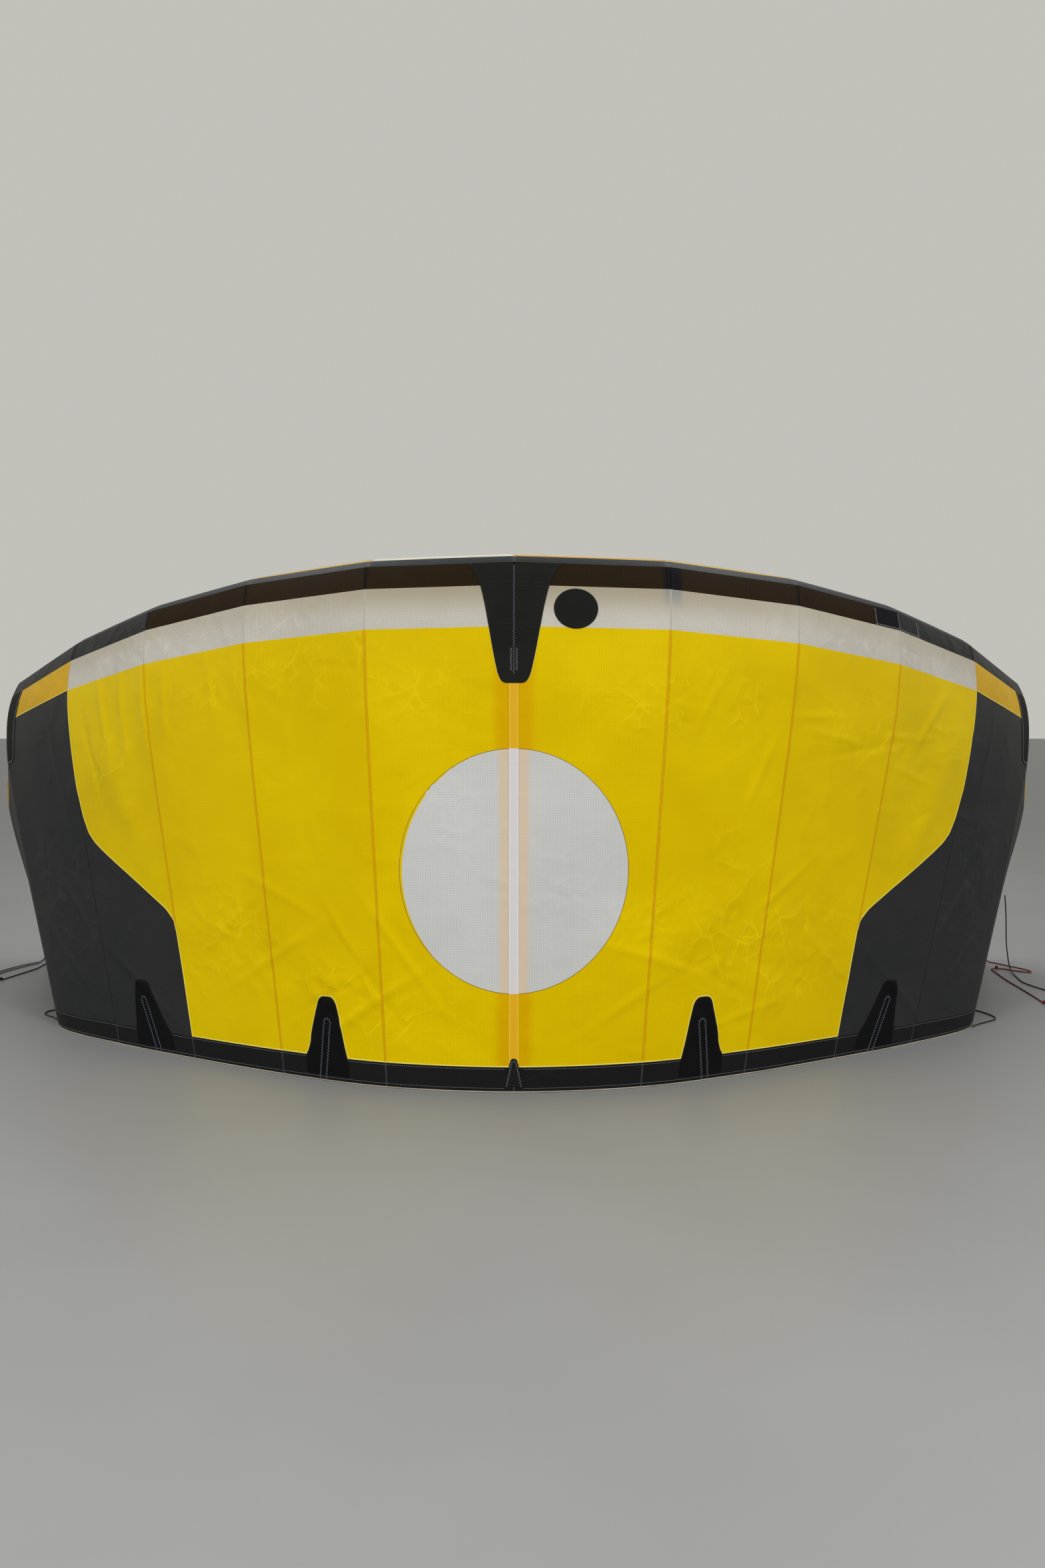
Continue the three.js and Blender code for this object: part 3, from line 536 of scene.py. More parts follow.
def addFloor():
    size, low = studio["floorSize"], studio["floorHeight"]
    mesh = bpy.data.meshes.new("floor")
    corners = [(-size, -size, low), (size, -size, low), (size, size, low), (-size, size, low)]
    mesh.from_pydata(corners, [], [(0, 1, 2, 3)])
    mesh.materials.append(makeFloorMaterial())
    newObject("floor", mesh)


addFloor()
print("materials and floor made")

# Lines, each from where it leaves the tube. The last number of a point is the gap under the line.

lineRadius = 0.0025
lineGap = 0.0003
lines = {
    "left_bridle_line": {
        "slot": "grey_line", "steps": 56, "farEnd": "object", "knots": (),
        "points": [(-2.007, 1.791, 0.180), (-2.020, 1.801, 0.090), (-2.060, 1.786, 0), (-2.118, 1.696, 0),
                   (-2.166, 1.560, 0), (-2.190, 1.478, 0), (-2.178, 1.440, 0), (-2.154, 1.468, 0),
                   (-2.138, 1.556, 0), (-2.098, 1.676, 0), (-2.060, 1.748, 0), (-2.034, 1.782, 0.016),
                   (-1.990, 1.794, 0.064)],
    },
    "left_pigtail": {
        "slot": "black_line", "steps": 34, "farEnd": "knot", "knots": (1.0,),
        "points": [(-1.952, 1.812, 0.066), (-1.966, 1.823, 0.022), (-1.996, 1.806, 0), (-2.020, 1.742, 0),
                   (-2.024, 1.640, 0), (-2.050, 1.540, 0), (-2.081, 1.429, 0)],
    },
    "left_edge_loop": {
        "slot": "black_line", "steps": 24, "farEnd": "object", "knots": (),
        "points": [(-1.611, 0.800, 0.004), (-1.640, 0.838, 0), (-1.668, 0.862, 0), (-1.691, 0.890, 0),
                   (-1.690, 0.926, 0), (-1.668, 0.950, 0), (-1.646, 0.964, 0)],
    },
    "right_bridle_line": {
        "slot": "red_line", "steps": 78, "farEnd": "knot", "knots": (0.46, 1.0),
        "points": [(1.996, 1.793, 0.130), (2.008, 1.801, 0.050), (2.042, 1.780, 0), (2.096, 1.696, 0),
                   (2.144, 1.606, 0), (2.136, 1.572, 0), (2.098, 1.590, 0), (2.044, 1.640, 0),
                   (2.003, 1.640, 0),
                   (1.990, 1.560, 0), (1.978, 1.400, 0), (1.976, 1.300, 0), (1.972, 1.160, 0),
                   (1.966, 1.040, 0)],
    },
    "right_black_line": {
        "slot": "black_line", "steps": 40, "farEnd": "knot", "knots": (1.0,),
        "points": [(2.082, 1.722, 0.300), (2.084, 1.711, 0.220), (2.070, 1.660, 0.090), (2.058, 1.590, 0.014),
                   (2.045, 1.500, 0), (2.030, 1.380, 0), (2.060, 1.255, 0), (2.090, 1.170, 0)],
    },
    "right_edge_loop": {
        "slot": "black_line", "steps": 24, "farEnd": "object", "knots": (),
        "points": [(1.574, 0.705, 0.004), (1.606, 0.742, 0), (1.656, 0.780, 0), (1.693, 0.811, 0),
                   (1.702, 0.846, 0), (1.692, 0.892, 0), (1.672, 0.936, 0), (1.647, 0.966, 0)],
    },
}
planMiddle = 0.902312  # the plan is measured from the middle of the trailing edge


def roundedPath(points, per):
    # Centripetal Catmull-Rom with per points on each stretch.
    points = np.asarray(points, float)
    padded = np.vstack([2 * points[0] - points[1], points, 2 * points[-1] - points[-2]])
    result = []
    for index in range(len(points) - 1):
        p0, p1, p2, p3 = padded[index:index + 4]
        d0, d1, d2 = (max(np.linalg.norm(b - a) ** 0.5, 1e-4) for a, b in ((p0, p1), (p1, p2), (p2, p3)))
        enter = ((p1 - p0) / d0 - (p2 - p0) / (d0 + d1) + (p2 - p1) / d1) * d1
        leave = ((p2 - p1) / d1 - (p3 - p1) / (d1 + d2) + (p3 - p2) / d2) * d1
        share = np.linspace(0, 1, per, endpoint=False)[:, None]
        result.append(p1 + enter * share + (3 * (p2 - p1) - 2 * enter - leave) * share**2
                      + (2 * (p1 - p2) + enter + leave) * share**3)
    return np.vstack(result + [points[-1:]])


def runAlong(points):
    return np.append(0, np.cumsum(np.linalg.norm(np.diff(points, axis=0), axis=1)))


def spaced(points, count):
    run = runAlong(points)
    spots = np.linspace(0, run[-1], count)
    return np.stack([np.interp(spots, run, points[:, part]) for part in range(3)], axis=-1)


def lineRoute(line):
    rough = spaced(roundedPath(line["points"], 40), line["steps"] + 1)
    rough[:, 2] = np.maximum(rough[:, 2], 0) + lineRadius + lineGap
    route = roundedPath(rough, 3)
    route[:, 2] = np.maximum(route[:, 2], lineRadius + lineGap)
    route[:, 1] -= planMiddle
    return route


def sweptMesh(name, points, radius, sides, closed=False):
    # A tube round a path, carried along it without twist.
    ahead = np.gradient(points, axis=0)
    if closed:
        ahead = np.roll(points, -1, axis=0) - np.roll(points, 1, axis=0)
    ahead = ahead / np.linalg.norm(ahead, axis=1, keepdims=True)
    first = np.zeros_like(points)
    first[0] = np.cross(ahead[0], (0.3, 0.2, 1))
    for index in range(len(points)):
        start = first[max(index - 1, 0)]
        start = start - ahead[index] * np.dot(start, ahead[index])
        first[index] = start / np.linalg.norm(start)
    second = np.cross(ahead, first)
    angle = np.linspace(0, 2 * math.pi, sides, endpoint=False)
    circle = np.cos(angle)[:, None] * first[:, None] + np.sin(angle)[:, None] * second[:, None]
    rings = points[:, None] + radius * circle
    count = len(points)
    faces = []
    for ring in range(count if closed else count - 1):
        here, after = ring * sides, (ring + 1) % count * sides
        for a in range(sides):
            b = (a + 1) % sides
            faces.append((here + a, here + b, after + b, after + a))
    if not closed:
        faces += [tuple(range(sides - 1, -1, -1)), tuple(range((count - 1) * sides, count * sides))]
    mesh = bpy.data.meshes.new(name)
    mesh.from_pydata(rings.reshape(-1, 3).tolist(), [], faces)
    mesh.polygons.foreach_set("use_smooth", np.ones(len(mesh.polygons), dtype=bool))
    return mesh


def addPiece(name, mesh, nodes=(), material=None):
    if material is not None:
        mesh.materials.append(material)
    piece = newObject(name, mesh)
    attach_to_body(piece, "root")
    if nodes:
        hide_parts(*nodes)
    return piece


knot = {"size": 0.0042, "thread": 0.0021, "steps": 60, "sides": 8}


def addKnot(name, route, share, slot):
    # An overhand knot pulled tight round the line.
    turn = np.linspace(0, 2 * math.pi, knot["steps"], endpoint=False)
    shape = np.stack([np.sin(turn) + 2 * np.sin(2 * turn), np.cos(turn) - 2 * np.cos(2 * turn),
                      -1.3 * np.sin(3 * turn)], axis=-1) * knot["size"] / 2.2
    index = min(int(share * (len(route) - 1)), len(route) - 2)
    ahead = route[index + 1] - route[index]
    ahead = ahead / np.linalg.norm(ahead)
    across = np.cross((0, 0, 1), ahead)
    across = across / np.linalg.norm(across)
    up = np.cross(ahead, across)
    points = shape[:, :1] * across + shape[:, 1:2] * up + shape[:, 2:] * 1.7 * ahead
    place = route[-1] if share == 1.0 else route[index]
    points = points + place
    points[:, 2] += max(0.0, knot["thread"] + 0.0002 - points[:, 2].min())
    mesh = sweptMesh(name, points, knot["thread"], knot["sides"], closed=True)
    return addPiece(name, mesh, (), lineCloths[slot])


def addLine(name, line):
    route = lineRoute(line)
    curve = bpy.data.curves.new(f"{name}_cord", "CURVE")
    curve.dimensions = "3D"
    spline = curve.splines.new("POLY")
    spline.points.add(len(route) - 1)
    spline.points.foreach_set("co", np.column_stack([route, np.ones(len(route))]).astype(np.float32).ravel())
    curve.bevel_depth = lineRadius
    curve.bevel_resolution = 3
    curve.use_fill_caps = True
    piece = addPiece(curve.name, curve, [name], lineCloths[line["slot"]])
    knots = [addKnot(f"{name}_knot_{number}", route, share, line["slot"])
             for number, share in enumerate(line["knots"], 1)]


for name, line in lines.items():
    addLine(name, line)
print("lines made")

# The canopy's shape.

tubeClearance = 0.0025
bulgePower = 8
bulgeRise = 0.12
strutSeam, tipSeam = 5, 8

# Trailing edge on the floor (x, y), middle of the tube (x, y, z), its radius, how much nearer to the
# middle the tube lies on the left half, degrees round the tube to the cloth, degrees between -Y and
# the way the cloth bulges, and how far it does, as a share of the chord. A row per seam.
seams = np.array([
    (0.000, 0.000, 0.000, 0.310, 1.463, 0.100, 0.000, 60, 0, 0.085),
    (0.368, 0.048, 0.448, 0.380, 1.458, 0.098, 0.024, 60, 4, 0.085),
    (0.690, 0.175, 0.865, 0.570, 1.428, 0.094, 0.048, 60, 8, 0.085),
    (1.000, 0.335, 1.258, 0.820, 1.368, 0.088, 0.054, 60, 14, 0.085),
    (1.295, 0.505, 1.612, 1.100, 1.278, 0.080, 0.052, 60, 24, 0.085),
    (1.565, 0.710, 1.920, 1.420, 1.157, 0.072, 0.016, 60, 40, 0.085),
    (1.645, 0.990, 2.045, 1.630, 0.800, 0.064, 0.000, 82, 50, 0.040),
    (1.735, 1.300, 2.035, 1.750, 0.430, 0.056, 0.000, 86, 55, 0.040),
    (1.845, 1.600, 1.930, 1.755, 0.060, 0.050, 0.000, 88, 65, 0.070),
])

# Soft folds of the whole canopy: across, height, degrees from level towards the wing tip and up,
# reach, width and depth. The part's own solids have them too.
folds = [
    (-1.5, 0.20, 38, 0.26, 0.060, 0.007), (-0.75, 0.12, 15, 0.22, 0.060, -0.005),
    (-2.6, 0.30, -20, 0.24, 0.070, 0.006), (-3.5, 0.62, 70, 0.30, 0.060, 0.006),
    (-4.5, 0.50, 84, 0.42, 0.070, 0.008), (-2.2, 0.75, 60, 0.24, 0.060, -0.005),
    (1.4, 0.30, 30, 0.28, 0.060, 0.006), (2.4, 0.18, -28, 0.26, 0.060, -0.006),
    (2.7, 0.72, 20, 0.26, 0.065, 0.006), (3.6, 0.55, 76, 0.30, 0.060, 0.006),
    (4.5, 0.45, 82, 0.42, 0.070, 0.008), (0.6, 0.70, 45, 0.22, 0.060, -0.005),
]

# Narrow creases and ripples that the photograph shows, in the same terms.
creases = [
    # long diagonal crease from the left side panel to the floor, and its neighbours
    (-1.95, 0.235, -27, 0.20, 0.014, 0.0045), (-1.15, 0.145, -30, 0.20, 0.014, 0.0045),
    (-1.45, 0.165, -24, 0.16, 0.010, -0.0030), (-2.35, 0.30, -36, 0.14, 0.012, 0.0030),
    (-0.85, 0.26, 52, 0.16, 0.014, 0.0035), (-1.10, 0.20, 50, 0.15, 0.012, -0.0030),
    (-1.30, 0.28, 58, 0.12, 0.012, 0.0030), (-1.9, 0.36, 24, 0.14, 0.014, 0.0030),
    # upright ripples below the band on the left
    (-3.55, 0.78, 84, 0.13, 0.016, 0.0050), (-3.30, 0.76, 88, 0.15, 0.016, 0.0050),
    (-3.05, 0.77, 90, 0.14, 0.016, 0.0045), (-2.82, 0.78, 92, 0.12, 0.015, 0.0040),
    (-2.35, 0.80, 86, 0.10, 0.015, 0.0035), (-3.75, 0.70, 80, 0.16, 0.014, -0.0035),
    # crumples on the right, below the band
    (2.25, 0.72, 8, 0.10, 0.012, 0.0035), (2.45, 0.68, -6, 0.11, 0.012, 0.0035),
    (2.70, 0.66, 14, 0.12, 0.012, -0.0030), (3.10, 0.70, 4, 0.11, 0.012, 0.0035),
    (3.30, 0.62, -12, 0.12, 0.012, 0.0030), (1.35, 0.74, 64, 0.10, 0.012, 0.0030),
    (1.80, 0.60, 70, 0.13, 0.012, 0.0030), (3.45, 0.76, 60, 0.13, 0.014, 0.0040),
    # right, low down
    (1.10, 0.235, -16, 0.18, 0.012, 0.0035), (1.55, 0.20, -24, 0.17, 0.012, -0.0030),
    (0.85, 0.16, 30, 0.14, 0.012, 0.0030), (2.10, 0.36, 40, 0.15, 0.012, 0.0030),
    (2.60, 0.24, -36, 0.15, 0.012, 0.0035), (1.90, 0.12, 12, 0.13, 0.010, 0.0025),
    # dark side panels
    (-4.30, 0.34, 62, 0.20, 0.016, 0.0045), (-4.60, 0.22, 50, 0.18, 0.014, 0.0040),
    (-3.60, 0.16, 36, 0.17, 0.014, 0.0040), (-4.20, 0.60, 82, 0.24, 0.014, 0.0040),
    (4.30, 0.36, 60, 0.20, 0.016, 0.0045), (4.62, 0.24, 52, 0.18, 0.014, 0.0040),
    (3.55, 0.15, -34, 0.16, 0.014, 0.0040), (4.25, 0.62, 84, 0.24, 0.014, 0.0040),
    # wing tips
    (-6.2, 0.50, 70, 0.22, 0.018, 0.0050), (-7.1, 0.45, 60, 0.20, 0.018, 0.0050),
    (6.2, 0.50, 70, 0.22, 0.018, 0.0050), (7.1, 0.45, 60, 0.20, 0.018, 0.0050),
]
crush = {"seed": 41, "reach": (0.02, 0.055), "width": (0.007, 0.011), "depth": 0.0012}

# Where the cloth was crushed: across, height, how far it spreads in both, marks, and their usual slope.
crushed = [
    (2.10, 0.30, 0.50, 0.050, 46, 12), (2.35, 0.19, 0.45, 0.050, 36, -10), (1.55, 0.22, 0.25, 0.050, 18, -14),
    (3.60, 0.73, 0.28, 0.050, 44, 8), (2.75, 0.70, 0.35, 0.060, 26, 60), (3.40, 0.56, 0.30, 0.060, 18, 50),
    (0.95, 0.73, 0.40, 0.050, 34, -30), (1.60, 0.72, 0.20, 0.060, 22, 50), (1.20, 0.31, 0.28, 0.035, 26, 14),
    (1.70, 0.44, 0.30, 0.070, 14, -30), (-2.45, 0.29, 0.35, 0.070, 34, 40), (-2.60, 0.19, 0.30, 0.018, 16, 2),
    (-1.45, 0.19, 0.22, 0.025, 26, 5), (-1.00, 0.13, 0.50, 0.040, 26, 14), (-2.30, 0.78, 0.55, 0.045, 34, 60),
    (-1.20, 0.80, 0.40, 0.040, 26, 20), (-0.60, 0.74, 0.25, 0.050, 18, -30),
    (-3.50, 0.66, 0.30, 0.120, 26, 80),
    (-3.00, 0.91, 0.55, 0.030, 44, 72), (-1.70, 0.91, 0.45, 0.030, 26, 60),
    (3.10, 0.91, 0.50, 0.030, 44, -64),
    (2.00, 0.90, 0.40, 0.030, 20, -50), (4.50, 0.91, 0.30, 0.025, 20, -50),
    (-4.50, 0.91, 0.30, 0.025, 20, 50),
    (3.60, 0.97, 0.80, 0.020, 30, 40), (-3.00, 0.97, 0.90, 0.020, 36, 50), (-4.40, 0.35, 0.40, 0.150, 30, 60),
    (4.40, 0.40, 0.40, 0.150, 30, 60), (0.30, 0.38, 0.25, 0.070, 14, -30), (-0.45, 0.50, 0.20, 0.120, 12, 30),
]


def crushMarks():
    draw = np.random.default_rng(crush["seed"])
    marks = []
    for place, level, wide, high, count, slope in crushed:
        for _ in range(count):
            marks.append((
                place + wide * draw.normal() * 0.7, level + high * draw.normal() * 0.7,
                slope + draw.choice([0, 0, 50, -50]) + draw.normal(0, 14), draw.uniform(*crush["reach"]),
                draw.uniform(*crush["width"]), crush["depth"] * draw.uniform(0.4, 1.2) * draw.choice([-1, 1]),
            ))
    return marks


def crushedShare(across, height):
    total = np.full(np.shape(across), 0.06)
    for place, level, wide, high, count, _ in crushed:
        away = ((across - place) / wide) ** 2 + ((height - level) / high) ** 2
        total = total + min(count / 30, 1) * np.exp(-0.7 * away)
    return np.minimum(total, 1)


fineMarks = np.array(creases + crushMarks())
softFolds = np.array(folds)


def unit(vectors):
    return vectors / np.linalg.norm(vectors, axis=-1, keepdims=True)


def seamFrames(side):
    tube = seams[:, 2:5].copy()
    if side < 0:
        tube[:, 0] -= seams[:, 6]
    edge = np.column_stack([seams[:, :2], np.zeros(len(seams))])
    last, next_ = np.maximum(np.arange(len(seams)) - 1, 0), np.minimum(np.arange(len(seams)) + 1, tipSeam)
    axis = tube[next_] - tube[last]
    axis[0] = (1, 0, 0)
    axis = unit(axis)
    chord = tube - edge
    chord = unit(chord - axis * np.sum(chord * axis, axis=1, keepdims=True))
    front = np.cross(axis, chord)
    angle = np.radians(seams[:, 7:8])
    attach = tube + (seams[:, 5:6] + tubeClearance) * (np.cos(angle) * chord + np.sin(angle) * front)
    facing = np.radians(seams[:, 8])
    outward = unit(np.column_stack([np.sin(facing), -np.cos(facing), np.full(len(seams), bulgeRise)]))
    return {"tube": tube, "edge": edge, "axis": axis, "chord": chord, "front": front, "attach": attach,
            "outward": outward}


halves = {1: seamFrames(1), -1: seamFrames(-1)}
bothHalves = {key: np.stack([halves[1][key], halves[-1][key]]) for key in ("attach", "outward")}


def curveAt(points, spot):
    # Uniform Catmull-Rom through points, with spot counted in points.
    index = np.clip(np.floor(spot).astype(int), 0, len(points) - 2)
    share = (spot - index)[..., None]
    padded = np.vstack([2 * points[0] - points[1], points, 2 * points[-1] - points[-2]])
    before, start, end, after = (padded[index + shift] for shift in range(4))
    enter, leave = 0.5 * (end - before), 0.5 * (after - start)
    return (start + enter * share + (3 * (end - start) - 2 * enter - leave) * share**2
            + (2 * (start - end) + enter + leave) * share**3)


def lift(marks, across, height):
    total = np.zeros_like(across)
    for place, level, turn, reach, width, depth in marks:
        side = math.copysign(1, place)
        near = np.abs(across - place) * foldSpan + np.abs(height - level) * foldChord < 3.2 * reach + 0.25
        if not near.any():
            continue
        sideways = (across[near] - place) * foldSpan * side
        upwards = (height[near] - level) * foldChord
        cos, sin = math.cos(math.radians(turn)), math.sin(math.radians(turn))
        along = (sideways * cos + upwards * sin) / reach
        aside = (upwards * cos - sideways * sin) / width
        total[near] += depth * np.exp(-along**2 - aside**2)
    return total


def canopyPoint(across, height, creased=True):
    across, height = np.broadcast_arrays(np.asarray(across, float), np.asarray(height, float))
    reach = np.minimum(np.abs(across), tipSeam)
    index = np.minimum(reach.astype(int), tipSeam - 1)
    share = (reach - index)[..., None]
    left = (across < 0).astype(int)
    edgeRow = halves[1]["edge"]
    edge = curveAt(np.vstack([edgeRow[:0:-1] * (-1, 1, 1), edgeRow]), tipSeam + reach)
    attach, outward = (
        both[left, index] * (1 - share) + both[left, index + 1] * share for both in bothHalves.values()
    )
    outward = unit(outward)
    chord = np.linalg.norm(attach - edge, axis=-1)
    bulge = seams[index, 9] * (1 - share[..., 0]) + seams[index + 1, 9] * share[..., 0]
    stand = bulge * chord * (height - np.abs(height) ** bulgePower)
    settle = np.sin(math.pi * np.clip(height, 0, 1))
    raised = lift(softFolds, across, height) * settle
    if creased:
        raised = raised + lift(fineMarks, across, height) * np.minimum(settle * 5, 1)
    level = height[..., None]
    point = edge * (1 - level) + attach * level + outward * (stand + raised)[..., None]
    point[..., 0] *= np.where(across < 0, -1, 1)
    point[..., 1] -= planMiddle
    return point


def canopyNormal(across, height):
    small = 0.004
    across, height = np.broadcast_arrays(np.asarray(across, float), np.asarray(height, float))
    low, high = np.maximum(height - small, 0), np.minimum(height + small, 1)
    sideways = canopyPoint(across + small, height) - canopyPoint(across - small, height)
    upwards = canopyPoint(across, high) - canopyPoint(across, low)
    return unit(np.cross(sideways, upwards))


# Helpers for meshes.

cloth = {"step": 0.0088, "thickness": 0.0013, "patch": 0.0012, "gap": 0.0003, "sourceThickness": 0.0015}


def buildMesh(name, points, faces, uv=None, values=None, sharpAngle=40):
    mesh = bpy.data.meshes.new(name)
    mesh.from_pydata(points.tolist(), [], faces)
    if uv is not None:
        layer = mesh.uv_layers.new(name="Cloth")
        corners = np.empty(len(mesh.loops), dtype=np.int32)
        mesh.loops.foreach_get("vertex_index", corners)
        layer.data.foreach_set("uv", uv[corners].astype(np.float32).ravel())
    for label, data in (values or {}).items():
        stored = mesh.attributes.new(label, "FLOAT_VECTOR", "POINT")
        stored.data.foreach_set("vector", data.astype(np.float32).ravel())
    mesh.polygons.foreach_set("use_smooth", np.ones(len(mesh.polygons), dtype=bool))
    mesh.set_sharp_from_angle(angle=math.radians(sharpAngle))
    return mesh


def turnFacesOut(mesh):
    bm = bmesh.new()
    bm.from_mesh(mesh)
    bmesh.ops.recalc_face_normals(bm, faces=bm.faces)
    bm.to_mesh(mesh)
    bm.free()


def gridFaces(rows, columns, start=0, flipped=False, wrap=False):
    row, column = np.meshgrid(np.arange(rows - 1), np.arange(columns if wrap else columns - 1), indexing="ij")
    a = start + row * columns + column
    b = start + row * columns + (column + 1) % columns
    corners = np.stack([a, b, b + columns, a + columns], axis=-1).reshape(-1, 4)
    return (corners[:, ::-1] if flipped else corners).tolist()


def roundFaces(rings, spokes, count):
    # Front, back and rim of a round sheet whose first point is its middle.
    faces = gridFaces(rings, spokes, 1, wrap=True, flipped=True)
    faces += gridFaces(rings, spokes, count + 1, wrap=True)
    outer = (rings - 1) * spokes
    for step in range(spokes):
        a, b = 1 + step, 1 + (step + 1) % spokes
        faces += [(0, a, b), (count, count + b, count + a)]
        faces.append((a + outer, a + outer + count, b + outer + count, b + outer))
    return faces


def gridNormals(points):
    down, along = np.gradient(points, axis=0), np.gradient(points, axis=1)
    return unit(np.cross(along, down))


def surface(across, height):
    return canopyPoint(across, height), canopyNormal(across, height)


def sheetArrays(points, thickness, shift, grounded=None, normals=None):
    # Points and faces of a sheet with a front, a back and a rim. The front lies on the convex side.
    rows, columns = points.shape[:2]
    normals = gridNormals(points) if normals is None else normals
    layers = []
    for offset in (shift + thickness / 2, shift - thickness / 2):
        layer = points + normals * offset
        if grounded is not None:
            layer[..., 2] = np.where(grounded, 0, np.maximum(layer[..., 2], 0))
        layers.append(layer.reshape(-1, 3))
    count = rows * columns
    faces = gridFaces(rows, columns) + gridFaces(rows, columns, count, flipped=True)
    number = np.arange(count).reshape(rows, columns)
    rim = np.concatenate([number[0, :-1], number[:-1, -1], number[-1, :0:-1], number[:0:-1, 0]])
    after = np.roll(rim, -1)
    faces += np.stack([rim, rim + count, after + count, after], axis=-1).tolist()
    return np.vstack(layers), faces


def clothUv(points):
    # Flat pattern of a piece: across its rows from their middles, and up its middle column.
    steps = np.linalg.norm(np.diff(points, axis=1), axis=2)
    along = np.concatenate([np.zeros((len(points), 1)), np.cumsum(steps, axis=1)], axis=1)
    along -= along[:, -1:] / 2
    rise = np.linalg.norm(np.diff(points, axis=0), axis=2)
    up = np.concatenate([np.zeros((1, points.shape[1])), np.cumsum(rise, axis=0)], axis=0)
    return np.stack([along, up], axis=-1)


def flatSize(points):
    width = np.linalg.norm(np.diff(points, axis=1), axis=2).sum(axis=1).max()
    length = np.linalg.norm(np.diff(points, axis=0), axis=2).sum(axis=0).max()
    first, second = points[1:, 1:] - points[:-1, :-1], points[1:, :-1] - points[:-1, 1:]
    area = np.linalg.norm(np.cross(first, second), axis=2).sum() / 2
    return width, length, area


def declareSheet(smooth):
    width, length, area = flatSize(smooth)
    area = min(max(area, 0.301 * width * length), width * length)


def placeRows(across, height):
    rows = np.stack([across, height, crushedShare(across, height)], axis=-1).reshape(-1, 3)
    return {"place": np.vstack([rows, rows])}


def addCloth(name, across, height, nodes, material):
    # A piece of the canopy from grids of across and height, which both run right and up.
    smooth = canopyPoint(across, height, creased=False)
    points = canopyPoint(across, height)
    corners, faces = sheetArrays(points, cloth["thickness"], 0, grounded=height == 0)
    uv = clothUv(smooth).reshape(-1, 2)
    mesh = buildMesh(name, corners, faces, np.vstack([uv, uv]), placeRows(across, height))
    piece = addPiece(name, mesh, nodes, material)
    declareSheet(smooth)
    return piece


def ruledGrid(low, high, heights, columns):
    share = np.linspace(0, 1, columns + 1)
    across = low[:, None] * (1 - share) + high[:, None] * share
    return across, np.repeat(heights[:, None], columns + 1, axis=1)


def sidedGrid(side, heights, inner, outer):
    # inner and outer are the edges at each height, counted out from the middle.
    low, high = (inner, outer) if side > 0 else (-outer, -inner)
    widest = float(np.max(np.abs(high - low))) * foldSpan * 1.05
    columns = max(4, round(widest / cloth["step"]))
    return ruledGrid(low, high, heights, columns)


def heightRows(low, high):
    return np.linspace(low, high, max(3, round((high - low) * foldChord / cloth["step"])) + 1)


# Curved line between the yellow cloth and the dark side panel: share of the height between the
# trailing strip and the band, and how far across.
sideLine = np.array([
    (0, 3), (0.272, 3), (0.3, 3.012), (0.33, 3.09), (0.36, 3.22), (0.41, 3.43), (0.455, 3.62), (0.49, 3.76),
    (0.52, 3.865), (0.55, 3.93), (0.6, 3.97), (0.69, 4), (1, 4),
])


def sideLineAt(heights):
    dense = np.linspace(-0.1, 1.1, 601)
    plain = np.interp(dense, sideLine[:, 0], sideLine[:, 1])
    kernel = np.exp(-np.linspace(-2.5, 2.5, 15) ** 2)
    smooth = np.convolve(np.pad(plain, 7, mode="edge"), kernel / kernel.sum(), mode="valid")
    return np.interp((heights - stripTop) / (bandBottom - stripTop), dense, smooth)


def edgesAt(heights, *edges):
    return [edge(heights) if callable(edge) else np.full(len(heights), float(edge)) for edge in edges]


# The canopy's cloths.

disc = {"bottom": 0.182, "top": 0.635, "halfWidth": 0.332, "rings": 32, "spokes": 220}


def findPlace(x, z):
    # Newton steps to the (across, height) at which the smooth canopy has this x and z.
    across, height = x / foldSpan, z / foldChord
    small = 1e-4
    for _ in range(8):
        here = canopyPoint(across, height, creased=False)
        right = (canopyPoint(across + small, height, creased=False) - here) / small
        up = (canopyPoint(across, height + small, creased=False) - here) / small
        missX, missZ = x - here[..., 0], z - here[..., 2]
        scale = right[..., 0] * up[..., 2] - up[..., 0] * right[..., 2]
        across = across + (missX * up[..., 2] - missZ * up[..., 0]) / scale
        height = height + (missZ * right[..., 0] - missX * right[..., 2]) / scale
    return across, height


def discOutline(angle, grow=0.0):
    low = canopyPoint(0.0, disc["bottom"], creased=False)[2]
    high = canopyPoint(0.0, disc["top"], creased=False)[2]
    x = (disc["halfWidth"] + grow) * np.cos(angle)
    z = (low + high) / 2 + ((high - low) / 2 + grow) * np.sin(angle)
    return x, z


def addDisc():
    angle = np.linspace(0, 2 * math.pi, disc["spokes"], endpoint=False)
    rimX, rimZ = discOutline(angle)
    middleZ = (rimZ.max() + rimZ.min()) / 2
    share = np.linspace(0, 1, disc["rings"] + 1)[1:, None]
    across, height = findPlace(share * rimX, middleZ + share * (rimZ - middleZ))
    hub = findPlace(np.zeros(1), np.full(1, middleZ))
    across, height = np.append(hub[0], across), np.append(hub[1], height)
    points, normals = surface(across, height)
    smooth = canopyPoint(across, height, creased=False)
    layers = [points + normals * cloth["thickness"] * half for half in (0.5, -0.5)]
    faces = roundFaces(disc["rings"], disc["spokes"], len(points))
    uv = smooth[:, [0, 2]]
    mesh = buildMesh("centre_disc_cloth", np.vstack(layers), faces, np.vstack([uv, uv]),
                     placeRows(across, height))
    piece = addPiece("centre_disc_cloth", mesh, ["centre_disc"], cloths["disc_cloth"])


